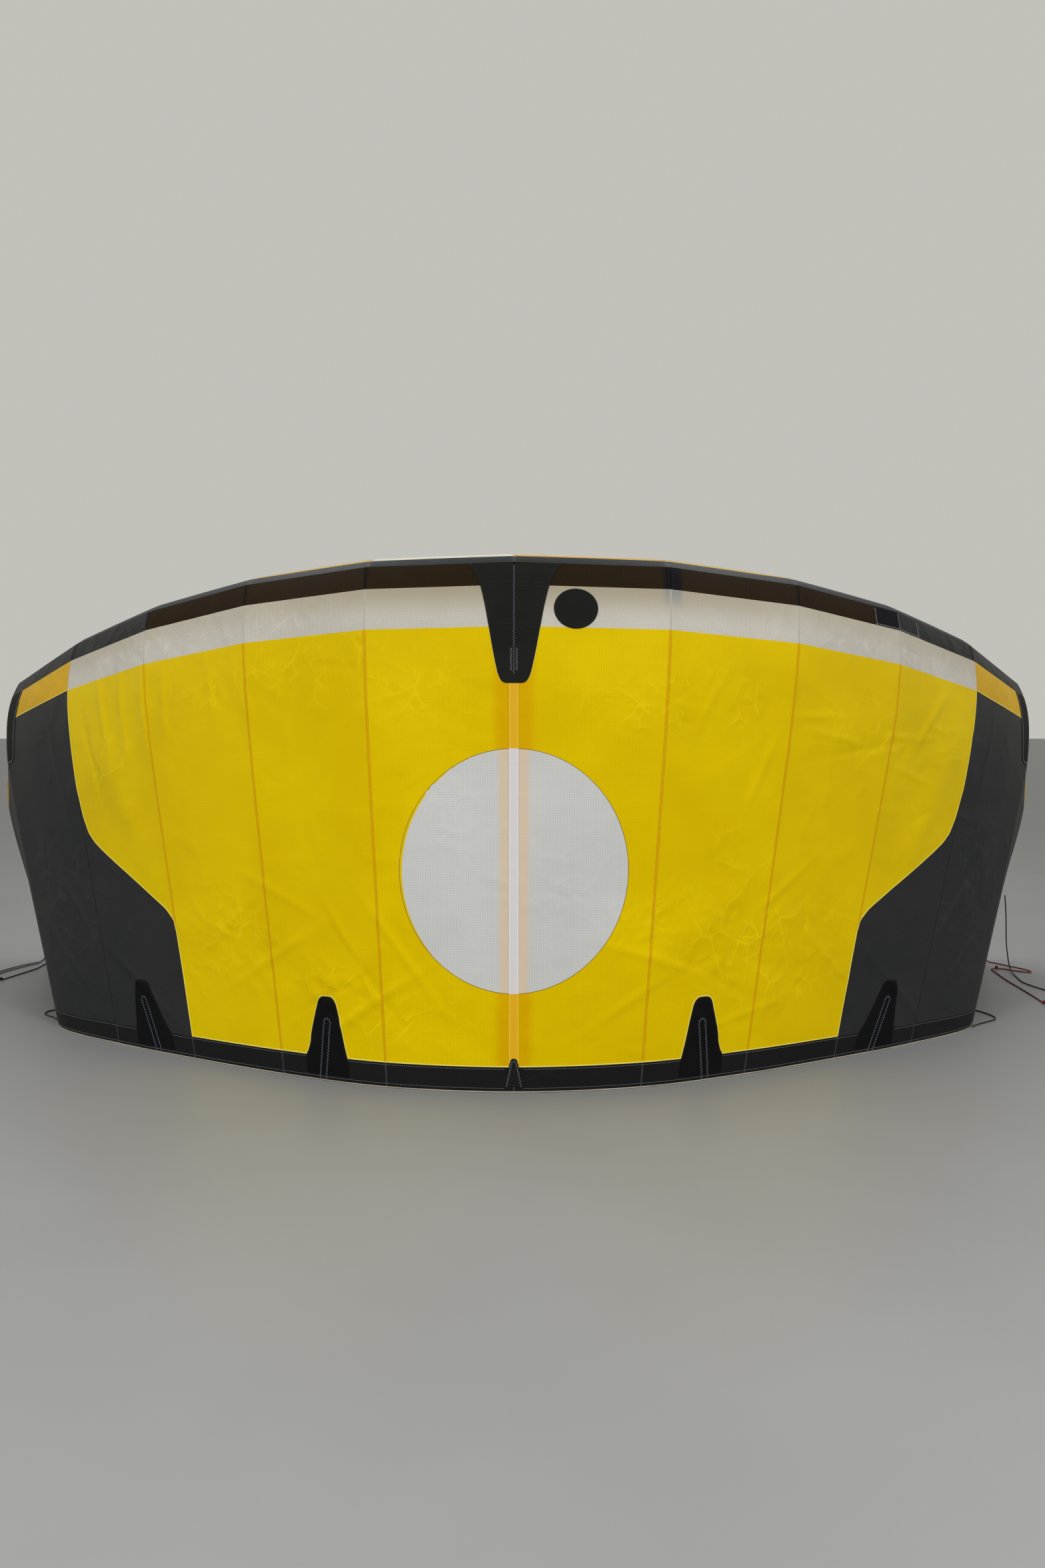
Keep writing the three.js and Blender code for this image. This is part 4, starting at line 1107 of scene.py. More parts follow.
def addInnerPanel(side, name):
    # The panel beside the middle, ruled between the disc's rim and its own outer edges.
    step = cloth["step"]
    outline = [(0.0, stripTop), (1.0, stripTop), (1.0, bandBottom), (0.0, bandBottom)]
    sizes = [foldSpan, foldChord * (bandBottom - stripTop), foldSpan]
    outer = []
    for (start, end), size in zip(zip(outline, outline[1:]), sizes):
        share = np.linspace(0, 1, round(size / step) + 1)[:-1, None]
        outer.append(np.array(start) * (1 - share) + np.array(end) * share)
    outer = np.vstack(outer + [np.array([outline[-1]])])
    places = canopyPoint(outer[:, 0], outer[:, 1], creased=False)
    centre = canopyPoint(0.0, (disc["bottom"] + disc["top"]) / 2, creased=False)[2]
    angle = np.arctan2(places[:, 2] - centre, places[:, 0])
    angle[0], angle[-1] = -math.pi / 2, math.pi / 2
    inner = np.stack(findPlace(*discOutline(angle)), axis=-1)
    inner[[0, -1], 0] = 0
    rings = 34
    share = np.linspace(0, 1, rings)[:, None, None]
    grid = inner[None] * (1 - share) + outer[None] * share
    across, height = grid[..., 0] * side, grid[..., 1]
    smooth, points = canopyPoint(across, height, creased=False), canopyPoint(across, height)
    normals = canopyNormal(across, height)
    corners, faces = sheetArrays(points, cloth["thickness"], 0, normals=normals)
    if side > 0:
        faces = [face[::-1] for face in faces]
    uv = np.stack([smooth[..., 0], clothRise(smooth)], axis=-1).reshape(-1, 2)
    label = f"{name}_yellow_cloth_1"
    mesh = buildMesh(label, corners, faces, np.vstack([uv, uv]), placeRows(across, height))
    piece = addPiece(label, mesh, [f"{name}_yellow_panel_1"], cloths["yellow_cloth"])


def clothRise(points):
    # Height up the cloth from the floor, close enough for the weave.
    return points[..., 2] * 1.02


def addCanopy(side, name):
    low, high = stripTop, bandBottom
    pieces = [  # part, lowest, highest, inner edge, outer edge, slot, material, CAD node
        ("trailing_strip_cloth", 0.0, low, 0, strutSeam, "hem_cloth", "hem_cloth", "trailing_strip"),
        ("yellow_cloth_2", low, high, 1, 2, "yellow_cloth", "yellow_cloth", "yellow_panel_2"),
        ("yellow_cloth_3", low, high, 2, 3, "yellow_cloth", "yellow_cloth", "yellow_panel_3"),
        ("yellow_cloth_4", low + 0.272 * (high - low), high, 3, lambda h: np.maximum(sideLineAt(h), 3.004),
         "yellow_cloth", "yellow_cloth", "yellow_panel_4"),
        ("side_cloth", low, high, sideLineAt, strutSeam, "side_cloth", "side_cloth", "side_panel"),
        ("white_band_cloth", high, bandTop, 0, 4, "white_cloth", "white_cloth", "white_band"),
        ("yellow_band_cloth", high, bandTop, 4, strutSeam, "yellow_cloth", "band_cloth", "yellow_band"),
        ("leading_strip_cloth_inner", bandTop, 1.0, 0, 3, "strip_cloth", "strip_cloth",
         "leading_strip_inner"),
        ("leading_strip_cloth_outer", bandTop, 1.0, 3, strutSeam, "strip_cloth", "dark_strip_cloth",
         "leading_strip_outer"),
        ("tip_trailing_strip_cloth", 0.0, low, strutSeam, tipSeam, "hem_cloth", "hem_cloth",
         "tip_trailing_strip"),
        ("tip_cloth", low, high, strutSeam, tipSeam, "side_cloth", "side_cloth", "tip_panel"),
        ("tip_band_cloth", high, bandTop, strutSeam, tipSeam, "yellow_cloth", "band_cloth", "tip_band"),
        ("tip_leading_strip_cloth", bandTop, 1.0, strutSeam, tipSeam, "strip_cloth", "dark_strip_cloth",
         "tip_leading_strip"),
    ]
    for part, bottom, top, inner, outer, slot, material, node in pieces:
        heights = heightRows(bottom, top)
        across, height = sidedGrid(side, heights, *edgesAt(heights, inner, outer))
        addCloth(f"{name}_{part}", across, height, [f"{name}_{node}"], cloths[material])
    addInnerPanel(side, name)


for side, name in bothSides:
    addCanopy(side, name)
addDisc()
print("canopy made")

# Patches sewn on the convex side.

# Outline of each patch as rows of (height, inner edge, outer edge). The ends are rounded.
patches = {
    "centre_patch": [
        (0.7572, -0.050, 0.050), (0.7590, -0.070, 0.070), (0.7640, -0.088, 0.088), (0.7720, -0.101, 0.101),
        (0.784, -0.113, 0.113), (0.820, -0.138, 0.138), (0.866, -0.165, 0.165), (0.908, -0.190, 0.190),
        (0.950, -0.222, 0.222), (0.975, -0.255, 0.255), (0.995, -0.300, 0.300),
    ],
    "centre_hem_patch": [
        (0.012, -0.070, 0.070), (0.026, -0.058, 0.058), (0.040, -0.045, 0.045), (0.052, -0.034, 0.034),
        (0.059, -0.025, 0.025), (0.062, -0.016, 0.016), (0.0628, -0.008, 0.008),
    ],
    "batten_patch_inner": [
        (0.012, 1.340, 1.750), (0.045, 1.342, 1.742), (0.056, 1.350, 1.718), (0.072, 1.363, 1.690),
        (0.090, 1.375, 1.674), (0.120, 1.394, 1.632), (0.140, 1.408, 1.602), (0.150, 1.418, 1.588),
        (0.157, 1.434, 1.572), (0.161, 1.456, 1.550), (0.1622, 1.480, 1.526),
    ],
    "batten_patch_outer": [
        (0.012, 3.250, 3.710), (0.045, 3.255, 3.702), (0.056, 3.280, 3.692), (0.072, 3.320, 3.682),
        (0.090, 3.356, 3.670), (0.120, 3.404, 3.650), (0.138, 3.432, 3.634), (0.147, 3.447, 3.621),
        (0.153, 3.465, 3.603), (0.1562, 3.490, 3.578), (0.1572, 3.512, 3.556),
    ],
    "strut_strip": [
        (0.7330, 4.965, 5.035), (0.7355, 4.932, 5.068), (0.7420, 4.906, 5.094), (0.752, 4.889, 5.111),
        (0.784, 4.870, 5.130), (0.866, 4.840, 5.160), (0.950, 4.810, 5.190),
    ],
}
roundPatch = {"across": 0.39, "height": 0.904, "radius": 0.066, "rings": 9, "spokes": 96}
patchLift = cloth["sourceThickness"] / 2 + cloth["gap"] + cloth["patch"] / 2


def smoothRows(rows, per=5):
    rows = np.array(rows)
    return curveAt(rows, np.linspace(0, len(rows) - 1, (len(rows) - 1) * per + 1))


def addPatch(name, side, rows, material, node):
    dense = smoothRows(rows)
    low, high = (dense[:, 1], dense[:, 2]) if side > 0 else (-dense[:, 2], -dense[:, 1])
    columns = max(8, round(float(np.max(high - low)) * foldSpan / 0.008))
    across, height = ruledGrid(low, high, dense[:, 0], columns)
    points, smooth = canopyPoint(across, height), canopyPoint(across, height, creased=False)
    corners, faces = sheetArrays(points, cloth["patch"], patchLift, normals=canopyNormal(across, height))
    uv = clothUv(smooth).reshape(-1, 2)
    mesh = buildMesh(name, corners, faces, np.vstack([uv, uv]))
    piece = addPiece(name, mesh, [node], material)
    declareSheet(smooth)


def circlePlaces(radius, angle):
    # Places round the middle of the round patch, at a distance along the cloth.
    small = 0.01
    across, height = roundPatch["across"], roundPatch["height"]
    middle = canopyPoint(across, height, creased=False)
    span = np.linalg.norm(canopyPoint(across + small, height, creased=False) - middle) / small
    rise = np.linalg.norm(canopyPoint(across, height + small, creased=False) - middle) / small
    return across + radius * np.cos(angle) / span, height + radius * np.sin(angle) / rise


def addRoundPatch():
    spokes, rings = roundPatch["spokes"], roundPatch["rings"]
    angle = np.linspace(0, 2 * math.pi, spokes, endpoint=False)
    radius = np.linspace(0, roundPatch["radius"], rings + 1)[1:, None]
    across, height = circlePlaces(radius, angle)
    across = np.append(roundPatch["across"], across)
    height = np.append(roundPatch["height"], height)
    points, normals = surface(across, height)
    layers = [points + normals * (patchLift + cloth["patch"] * half) for half in (0.5, -0.5)]
    faces = roundFaces(rings, spokes, len(points))
    uv = points[:, [0, 2]]
    mesh = buildMesh("round_cloth_patch", np.vstack(layers), faces, np.vstack([uv, uv]))
    piece = addPiece("round_cloth_patch", mesh, ["round_patch"], woven["patch_cloth"])
    across = 2 * roundPatch["radius"]


for side, name in bothSides:
    for part in ("batten_patch_inner", "batten_patch_outer", "strut_strip"):
        finish = woven["patch_cloth" if part == "strut_strip" else "batten_cloth"]
        addPatch(f"{name}_{part}_cloth", side, patches[part], finish, f"{name}_{part}")
addPatch("centre_patch_cloth", 1, patches["centre_patch"], woven["patch_cloth"], "centre_patch")
addPatch("centre_hem_patch_cloth", 1, patches["centre_hem_patch"], woven["patch_cloth"], "centre_hem_patch")
addRoundPatch()
print("patches made")

# Edging and tapes that lie on the canopy.

edging = {"width": 0.0034, "thickness": 0.0003, "rim": 0.0018, "tape": 0.027, "tapeThickness": 0.0004}
onCloth = cloth["thickness"] / 2


def evenly(places, step):
    # The same path of (across, height) with points a step apart along the cloth.
    places = np.asarray(places, float)
    points = canopyPoint(places[:, 0], places[:, 1], creased=False)
    run = runAlong(points)
    spots = np.linspace(0, run[-1], max(3, round(run[-1] / step)) + 1)
    return np.stack([np.interp(spots, run, places[:, part]) for part in (0, 1)], axis=-1)


def pathFrame(places):
    points, normals = surface(*places.T)
    ahead = unit(np.gradient(points, axis=0))
    return points, normals, ahead, unit(np.cross(normals, ahead))


def ribbonArrays(places, width, thickness, shift=0.0, closed=False, lowest=None):
    # A flat ribbon on the cloth's convex side. shift moves it to the left of its path.
    points, normals, _, left = pathFrame(places)
    corners = []
    for aside, up in ((-0.5, 0.0), (0.5, 0.0), (0.5, 1.0), (-0.5, 1.0)):
        corners.append(points + left * (shift + aside * width) + normals * (onCloth + up * thickness))
    rings = np.stack(corners, axis=1)
    if lowest is not None:
        rings[..., 2] = np.maximum(rings[..., 2], lowest)
    count = len(points)
    faces = gridFaces(count, 4, wrap=True)
    if closed:
        faces += [(4 * (count - 1) + a, 4 * (count - 1) + (a + 1) % 4, (a + 1) % 4, a) for a in range(4)]
    else:
        faces += [(3, 2, 1, 0), tuple(4 * (count - 1) + a for a in range(4))]
    run = runAlong(points)
    uv = np.stack([np.tile((0.0, width, width, 0.0), count), np.repeat(run, 4)], axis=-1)
    place = np.repeat(np.column_stack([places, np.zeros(count)]), 4, axis=0)
    return rings.reshape(-1, 3), faces, uv, place


def addRibbons(name, ribbons, material):
    points, faces, uvs, places, start = [], [], [], [], 0
    for corners, quads, uv, place in ribbons:
        points.append(corners)
        uvs.append(uv)
        places.append(place)
        faces += [[corner + start for corner in quad] for quad in quads]
        start += len(corners)
    mesh = buildMesh(name, np.vstack(points), faces, np.vstack(uvs), {"place": np.vstack(places)})
    turnFacesOut(mesh)
    return addPiece(name, mesh, (), material)


topPatches = ("centre_patch", "strut_strip")  # these end below, the others above


def overTheEnd(name, side, inner, outer):
    # Along one edge of a patch, over its end and back along the other edge.
    path = [inner[::-1], outer] if name in topPatches else [inner, outer[::-1]]
    return np.vstack(path) * (side, 1)


def patchPath(name, side, lowest=0.0, highest=1.0):
    rows = smoothRows(patches[name])
    rows = rows[(rows[:, 0] >= lowest) & (rows[:, 0] <= highest)]
    return overTheEnd(name, side, rows[:, [1, 0]], rows[:, [2, 0]])


def levelPath(height, low, high):
    return np.array([(low, height), (high, height)], float)


def uprightPath(across, low, high):
    return np.array([(across, low), (across, high)], float)


def sideLinePath(side, low=0.0, high=1.0):
    share = np.linspace(low, high, 200)
    height = stripTop + share * (bandBottom - stripTop)
    return np.stack([side * sideLineAt(height), height], axis=-1)


def addEdging(side, name):
    width, thick = edging["width"], edging["thickness"]
    paths = []
    # Each path runs with the pale side on its left.
    for path, shift in (
        (sideLinePath(side), side * width / 2),
        (levelPath(stripTop, 0, 3 * side), side * width / 2),
        (levelPath(bandBottom, 4 * side, 5 * side), side * width / 2),
        (patchPath("batten_patch_inner", side, 0.047), side * width * 0.5),
        (patchPath("centre_patch", side, 0.0, 0.866)[40:], 0.0),
    ):
        paths.append(ribbonArrays(evenly(path, 0.006), width, thick, shift))
    addRibbons(f"{name}_pale_edging", paths, woven["edging_cloth"])
    hem = [ribbonArrays(evenly(levelPath(0.0016, 0, tipSeam * side), 0.01), 0.003, thick, 0, lowest=0.0)]
    addRibbons(f"{name}_hem_edge", hem, woven["hem_edge"])


for side, name in bothSides:
    addEdging(side, name)


tapeFinish = {
    "color": sRgb(228, 172, 2), "rim": sRgb(244, 204, 56), "rimSpan": (0.0016, 0.0032),
    "discColor": sRgb(216, 213, 218), "discRim": sRgb(236, 235, 236), "blend": 0.001,
    "grid": sRgb(190, 166, 120), "gridShare": 0.25, "gridDepth": 0.0001,
}


def makeTapeMaterial():
    material, tree, shader = startMaterial("centre_tape", 0.45, 0.15)
    uv = flatUv(tree)
    height, blend, half = split(tree, canopyPlace(tree))[1], tapeFinish["blend"], edging["tape"] / 2
    above = remap(tree, height, disc["bottom"] - blend, disc["bottom"] + blend)
    below = remap(tree, height, disc["top"] - blend, disc["top"] + blend, 1.0, 0.0)
    onDisc = calc(tree, "MULTIPLY", above, below)
    color = mixColor(tree, onDisc, tapeFinish["color"], tapeFinish["discColor"])
    aside = calc(tree, "ABSOLUTE", calc(tree, "SUBTRACT", split(tree, uv)[0], half))
    rim = remap(tree, calc(tree, "SUBTRACT", half, aside), *tapeFinish["rimSpan"], 1.0, 0.0)
    color = mixColor(tree, rim, color, mixColor(tree, onDisc, tapeFinish["rim"], tapeFinish["discRim"]))
    grid = gridLines(tree, uv, 0.5, 0.5)
    share = calc(tree, "MULTIPLY", grid, tapeFinish["gridShare"])
    tree.links.new(mixColor(tree, share, color, tapeFinish["grid"]), shader.inputs["Base Color"])
    tree.links.new(bumped(tree, grid, tapeFinish["gridDepth"]), shader.inputs["Normal"])
    return material


def addTapes():
    tape = ribbonArrays(evenly(np.array([(0, 0.05), (0, 0.7566)]), 0.008), edging["tape"],
                        edging["tapeThickness"])
    addRibbons("centre_seam_tape", [tape], makeTapeMaterial())
    angle = np.linspace(0, 2 * math.pi, 361)[:-1]
    rim = np.stack(findPlace(*discOutline(angle)), axis=-1)
    ring = ribbonArrays(rim, edging["rim"], edging["thickness"], 0, closed=True)
    addRibbons("disc_rim", [ring], woven["disc_rim_cloth"])


addTapes()
print("edging made")

# Inflated tubes.

tube = {
    "sides": 72, "ringDistances": (0.0, 0.003, 0.007, 0.014, 0.026, 0.045, 0.07), "ringStep": 0.05,
    "pinch": 0.0011, "pucker": 0.0009, "swell": 0.0012, "footDrop": 0.12, "seed": 17,
    "heldReach": 0.006, "wrinkleReach": 0.05, "waves": (9, 14, 19, 26),
}


def tubeShares(length):
    near = [distance / length for distance in tube["ringDistances"]]
    count = max(4, round(length / tube["ringStep"]))
    middle = list(np.linspace(near[-1], 1 - near[-1], count))[1:-1]
    return np.array(near + middle + [1 - share for share in reversed(near)])


def makeTube(side, name):
    angle = np.linspace(0, 2 * math.pi, tube["sides"], endpoint=False)
    draw = np.random.default_rng(tube["seed"] + side)
    rings, places, runs, run = [], [], [], 0.0
    half = halves[side]

    def ringAt(index, drop=0.0):
        away = np.cos(angle)[:, None] * half["chord"][index] + np.sin(angle)[:, None] * half["front"][index]
        return half["tube"][index] + half["axis"][index] * drop, seams[index, 5] * away

    last = tipSeam + 1
    ends = [ringAt(index) for index in range(last)] + [ringAt(tipSeam, tube["footDrop"])]
    for index in range(last):
        (start, startAway), (end, endAway) = ends[index], ends[index + 1]
        length = float(np.linalg.norm(end - start))
        phase = draw.uniform(0, 2 * math.pi, len(tube["waves"]))
        for share in tubeShares(length):
            near = min(share, 1 - share) * length
            way = startAway * (1 - share) + endAway * share
            radius = np.linalg.norm(way, axis=1)
            held = math.exp(-((near / tube["heldReach"]) ** 2))
            wrinkled = math.exp(-near / tube["wrinkleReach"]) - held
            waves = [np.cos(count * angle + turn) for count, turn in zip(tube["waves"], phase)]
            wave = sum(waves) / len(waves)
            pucker = tube["pucker"] * wrinkled * wave
            grown = tube["swell"] * math.sin(math.pi * share) - tube["pinch"] * held + pucker
            rings.append(start * (1 - share) + end * share + way * (1 + grown / radius)[:, None])
            white = 1.0 if (side < 0 and index == 0) or index >= strutSeam else 0.0
            places.append(np.column_stack([np.full(len(angle), index + share), np.degrees(angle),
                                           np.full(len(angle), white)]))
            runs.append(run + share * length)
        run += length
    points = np.stack(rings)
    points[..., 0] *= side
    points[..., 1] -= planMiddle
    columns = tube["sides"]
    faces = gridFaces(len(points), columns, wrap=True)
    count = len(points) * columns
    faces += [tuple(range(columns - 1, -1, -1)), tuple(range(count - columns, count))]
    radii = np.append(seams[:, 5], seams[-1, 5])
    radius = np.interp(np.linspace(0, last, len(points)), np.arange(last + 1), radii)
    around = angle[None] * radius[:, None]
    uv = np.stack([around, np.repeat(np.array(runs)[:, None], columns, axis=1)], axis=-1).reshape(-1, 2)
    label = f"{name}_leading_tube"
    mesh = buildMesh(label, points.reshape(-1, 3), faces, uv, {"place": np.vstack(places)}, sharpAngle=60)
    bm = bmesh.new()
    bm.from_mesh(mesh)
    bmesh.ops.recalc_face_normals(bm, faces=bm.faces)
    cut = bmesh.ops.bisect_plane(bm, geom=bm.verts[:] + bm.edges[:] + bm.faces[:], plane_co=(0, 0, 0),
                                 plane_no=(0, 0, 1), clear_inner=True)
    rim = [item for item in cut["geom_cut"] if isinstance(item, bmesh.types.BMEdge)]
    bmesh.ops.edgeloop_fill(bm, edges=rim)
    bmesh.ops.recalc_face_normals(bm, faces=bm.faces)
    bm.to_mesh(mesh)
    bm.free()
    nodes = [f"{name}_tube_{index}" for index in range(1, strutSeam + 1)] + [f"{name}_tube_tip"]
    return addPiece(label, mesh, nodes, tubeCloth)


# Dark band on the tube in degrees round it, which starts lower in the middle than farther out.
tubeBand = {"across": (1.6, 3.0), "from": (37.0, 12.0), "to": 66.5, "edge": 1.0, "color": sRgb(46, 50, 54)}


tubeFinish = {
    "color": sRgb(196, 156, 58), "white": sRgb(208, 202, 184), "dust": sRgb(150, 140, 120),
    "dustSize": 0.25, "dustShare": 0.12, "seam": sRgb(90, 88, 80), "seamSpan": (0.012, 0.018),
    "seamShare": 0.35, "thread": 0.0012, "weaveDepth": 0.00012, "puckerSize": 0.12, "puckerSeed": 5.0,
    "puckerDepth": 0.0012,
}


def makeTubeMaterial():
    look = tubeFinish
    material, tree, shader = startMaterial("tube_cloth", 0.5, 0.15)
    where, place = objectPlace(tree), split(tree, canopyPlace(tree))
    dye = useGroup(tree, unevenDye, Vector=where, Size=look["dustSize"])["Mask"]
    color = mixColor(tree, place[2], look["color"], look["white"])
    color = mixColor(tree, calc(tree, "MULTIPLY", dye, look["dustShare"]), color, look["dust"])
    begin = remap(tree, place[0], *tubeBand["across"], *tubeBand["from"])
    low = remap(tree, place[1], begin, calc(tree, "ADD", begin, tubeBand["edge"]))
    high = remap(tree, place[1], tubeBand["to"], tubeBand["to"] + tubeBand["edge"], 1.0, 0.0)
    color = mixColor(tree, calc(tree, "MULTIPLY", low, high), color, tubeBand["color"])
    seam = remap(tree, calc(tree, "PINGPONG", place[0], 0.5), *look["seamSpan"], 1.0, 0.0)
    color = mixColor(tree, calc(tree, "MULTIPLY", seam, look["seamShare"]), color, look["seam"])
    tree.links.new(color, shader.inputs["Base Color"])
    weave = useGroup(tree, coarseWeave, Vector=flatUv(tree), Thread=look["thread"])["Height"]
    puckers = useGroup(tree, crumpledCloth, Vector=where, Size=look["puckerSize"], Seed=look["puckerSeed"])
    normal = bumped(tree, puckers["Height"], look["puckerDepth"])
    tree.links.new(bumped(tree, weave, look["weaveDepth"], normal), shader.inputs["Normal"])
    return material


tubeCloth = makeTubeMaterial()
for side, name in bothSides:
    makeTube(side, name)
print("leading edge tube made")

strut = {
    "sides": 48, "clearance": 0.0013, "wrinkle": 0.0006,
    "rows": [  # height up the canopy, radius
        (0.035, 0.026), (0.06, 0.029), (0.15, 0.031), (0.28, 0.034), (0.42, 0.037), (0.55, 0.040),
        (0.66, 0.042),
        (0.76, 0.044), (0.84, 0.045),
    ],
    "wrinkles": ((0.021, 0, -0.4), (0.034, 1, 1)),  # step along the strut, phase, turn round it
    "inside": 0.02,  # how far it runs into the leading edge tube
}


def makeStrut(across, name, node):
    rows = np.array(strut["rows"])
    heights = np.linspace(rows[0, 0], rows[-1, 0], 70)
    radii = curveAt(rows[:, 1:], np.interp(heights, rows[:, 0], np.arange(len(rows))))[:, 0]
    places = np.column_stack([np.full(len(heights), float(across)), heights])
    middle = canopyPoint(places[:, 0], places[:, 1], creased=False)
    normals = canopyNormal(places[:, 0], places[:, 1])
    middle = middle - normals * (radii + strut["clearance"])[:, None]
    # The last stretch leaves the cloth and goes on to the leading edge tube's middle.
    index = abs(across)
    side = -1 if across < 0 else 1
    target = halves[side]["tube"][index] * (side, 1, 1) - (0, planMiddle, 0)
    way = target - middle[-1]
    length = float(np.linalg.norm(way)) - seams[index, 5] + strut["inside"]
    extra = np.linspace(0, 1, 10)[1:, None] * unit(way) * length + middle[-1]
    middle = np.vstack([middle, extra])
    radii = np.append(radii, np.full(len(extra), radii[-1]))
    normals = np.vstack([normals, np.repeat(normals[-1:], len(extra), axis=0)])
    # The lower end is a rounded cap.
    ahead = unit(np.gradient(middle, axis=0))
    turns = np.linspace(0, math.pi / 2, 9)[1:]
    cap = middle[0] - ahead[0] * (radii[0] * 0.9 * np.sin(turns))[:, None]
    middle = np.vstack([cap[::-1], middle])
    radii = np.append(np.maximum(radii[0] * np.cos(turns[::-1]), 0.0006), radii)
    normals = np.vstack([np.repeat(normals[:1], len(cap), axis=0), normals])
    ahead = np.vstack([np.repeat(ahead[:1], len(cap), axis=0), ahead])
    first = unit(normals - ahead * np.sum(normals * ahead, axis=1, keepdims=True))
    second = np.cross(ahead, first)
    angle = np.linspace(0, 2 * math.pi, strut["sides"], endpoint=False)
    run = runAlong(middle)
    wave = sum(np.sin(run / step + phase)[:, None] * np.cos(angle + turn) ** 8
               for step, phase, turn in strut["wrinkles"])
    radius = radii[:, None] + strut["wrinkle"] * wave * np.minimum(radii / 0.02, 1)[:, None]
    points = (middle[:, None] + radius[..., None] * (np.cos(angle)[:, None] * first[:, None]
              + np.sin(angle)[:, None] * second[:, None]))
    columns = strut["sides"]
    count = len(points) * columns
    faces = gridFaces(len(points), columns, wrap=True)
    faces += [tuple(range(columns - 1, -1, -1)), tuple(range(count - columns, count))]
    uv = np.stack(np.broadcast_arrays(angle[None] * radii.max(), run[:, None]), axis=-1).reshape(-1, 2)
    mesh = buildMesh(name, points.reshape(-1, 3), faces, uv, sharpAngle=70)
    turnFacesOut(mesh)
    addPiece(name, mesh, [node], woven["strut_cloth"])


makeStrut(0, "centre_strut_cloth", "centre_strut")
makeStrut(-strutSeam, "left_strut_cloth", "left_strut")
makeStrut(strutSeam, "right_strut_cloth", "right_strut")
print("struts made")

# Stitching, a row of thread along each path on the cloth.

stitching = {
    "thread": 0.00055, "step": 0.0042, "zigzag": 52, "straightShare": 0.7, "sides": 4, "proud": 0.0003,
    "pockets": [((1.59, 0.006), (1.51, 0.112)), ((3.44, 0.006), (3.54, 0.112))], "pocketHalf": 0.03,
    "inset": 0.006, "battenInset": 0.005, "battenLow": 0.05, "middle": (0.775, 0.99),
    "bartack": (0.018, 0.782, 0.822), "patchLevels": (0.862, 0.870, 0.946, 0.954), "twinHalf": 0.0085,
    "stripTwinHalf": 0.012, "hemLevels": (0.008, 0.043), "hemEnds": (0.08, 6.6), "hemStep": 0.006,
    "sidePanelTop": 0.27, "boxLevels": (0.951, 0.994, 0.9535),
}


def makeStitchTree():
    tree = bpy.data.node_groups.new("stitchRow", "GeometryNodeTree")
    face = tree.interface
    face.new_socket("Geometry", in_out="INPUT", socket_type="NodeSocketGeometry")
    for label, value in (("Stitch Length", 0.004), ("Thread Radius", 0.0005), ("Zigzag Angle", 0.0),
                         ("Thread Share", 0.7)):
        face.new_socket(label, in_out="INPUT", socket_type="NodeSocketFloat").default_value = value
    face.new_socket("Thread", in_out="INPUT", socket_type="NodeSocketMaterial")
    face.new_socket("Geometry", in_out="OUTPUT", socket_type="NodeSocketGeometry")
    given = tree.nodes.new("NodeGroupInput").outputs
    path = addNode(tree, "GeometryNodeMeshToCurve", None, Mesh=given["Geometry"]).outputs[0]
    path = addNode(tree, "GeometryNodeResampleCurve", {"mode": "LENGTH"}, Curve=path,
                   Length=given["Stitch Length"])
    spots = addNode(tree, "GeometryNodeCurveToPoints", {"mode": "EVALUATED"}, Curve=path.outputs[0])
    normal = tree.nodes.new("GeometryNodeInputNamedAttribute")
    normal.data_type = "FLOAT_VECTOR"
    normal.inputs["Name"].default_value = "clothNormal"
    facing = addNode(tree, "FunctionNodeAxesToRotation", {"primary_axis": "X", "secondary_axis": "Z"},
                     n0=spots.outputs["Tangent"], n1=normal.outputs[0]).outputs[0]
    number = tree.nodes.new("GeometryNodeInputIndex").outputs[0]
    swing = calc(tree, "MULTIPLY_ADD", calc(tree, "MODULO", number, 2.0), 2.0, -1.0)
    turn = addNode(tree, "FunctionNodeAxisAngleToRotation", None, Axis=(0.0, 0.0, 1.0),
                   Angle=calc(tree, "MULTIPLY", swing, given["Zigzag Angle"])).outputs[0]
    rotation = addNode(tree, "FunctionNodeRotateRotation", {"rotation_space": "LOCAL"}, n0=facing,
                       n1=turn).outputs[0]
    thread = addNode(tree, "GeometryNodeMeshCylinder", {"fill_type": "NGON"}, Vertices=stitching["sides"],
                     Radius=given["Thread Radius"],
                     Depth=calc(tree, "MULTIPLY", given["Stitch Length"], given["Thread Share"]))
    laid = addNode(tree, "GeometryNodeTransform", None, Geometry=thread.outputs[0],
                   Rotation=(0.0, math.pi / 2, 0.0)).outputs[0]
    copies = addNode(tree, "GeometryNodeInstanceOnPoints", None, Points=spots.outputs["Points"],
                     Instance=laid, Rotation=rotation).outputs[0]
    real = addNode(tree, "GeometryNodeRealizeInstances", None, Geometry=copies).outputs[0]
    smooth = addNode(tree, "GeometryNodeSetShadeSmooth", None, Geometry=real).outputs[0]
    finished = addNode(tree, "GeometryNodeSetMaterial", None, Geometry=smooth,
                       Material=given["Thread"]).outputs[0]
    tree.links.new(finished, tree.nodes.new("NodeGroupOutput").inputs[0])
    return tree


stitchTree = makeStitchTree()


def stitchPath(places, height):
    # Path points raised to lie on the cloth, with the cloth's normal at each.
    places = evenly(places, stitching["step"])
    points, normals = surface(*places.T)
    return points + normals * height, normals


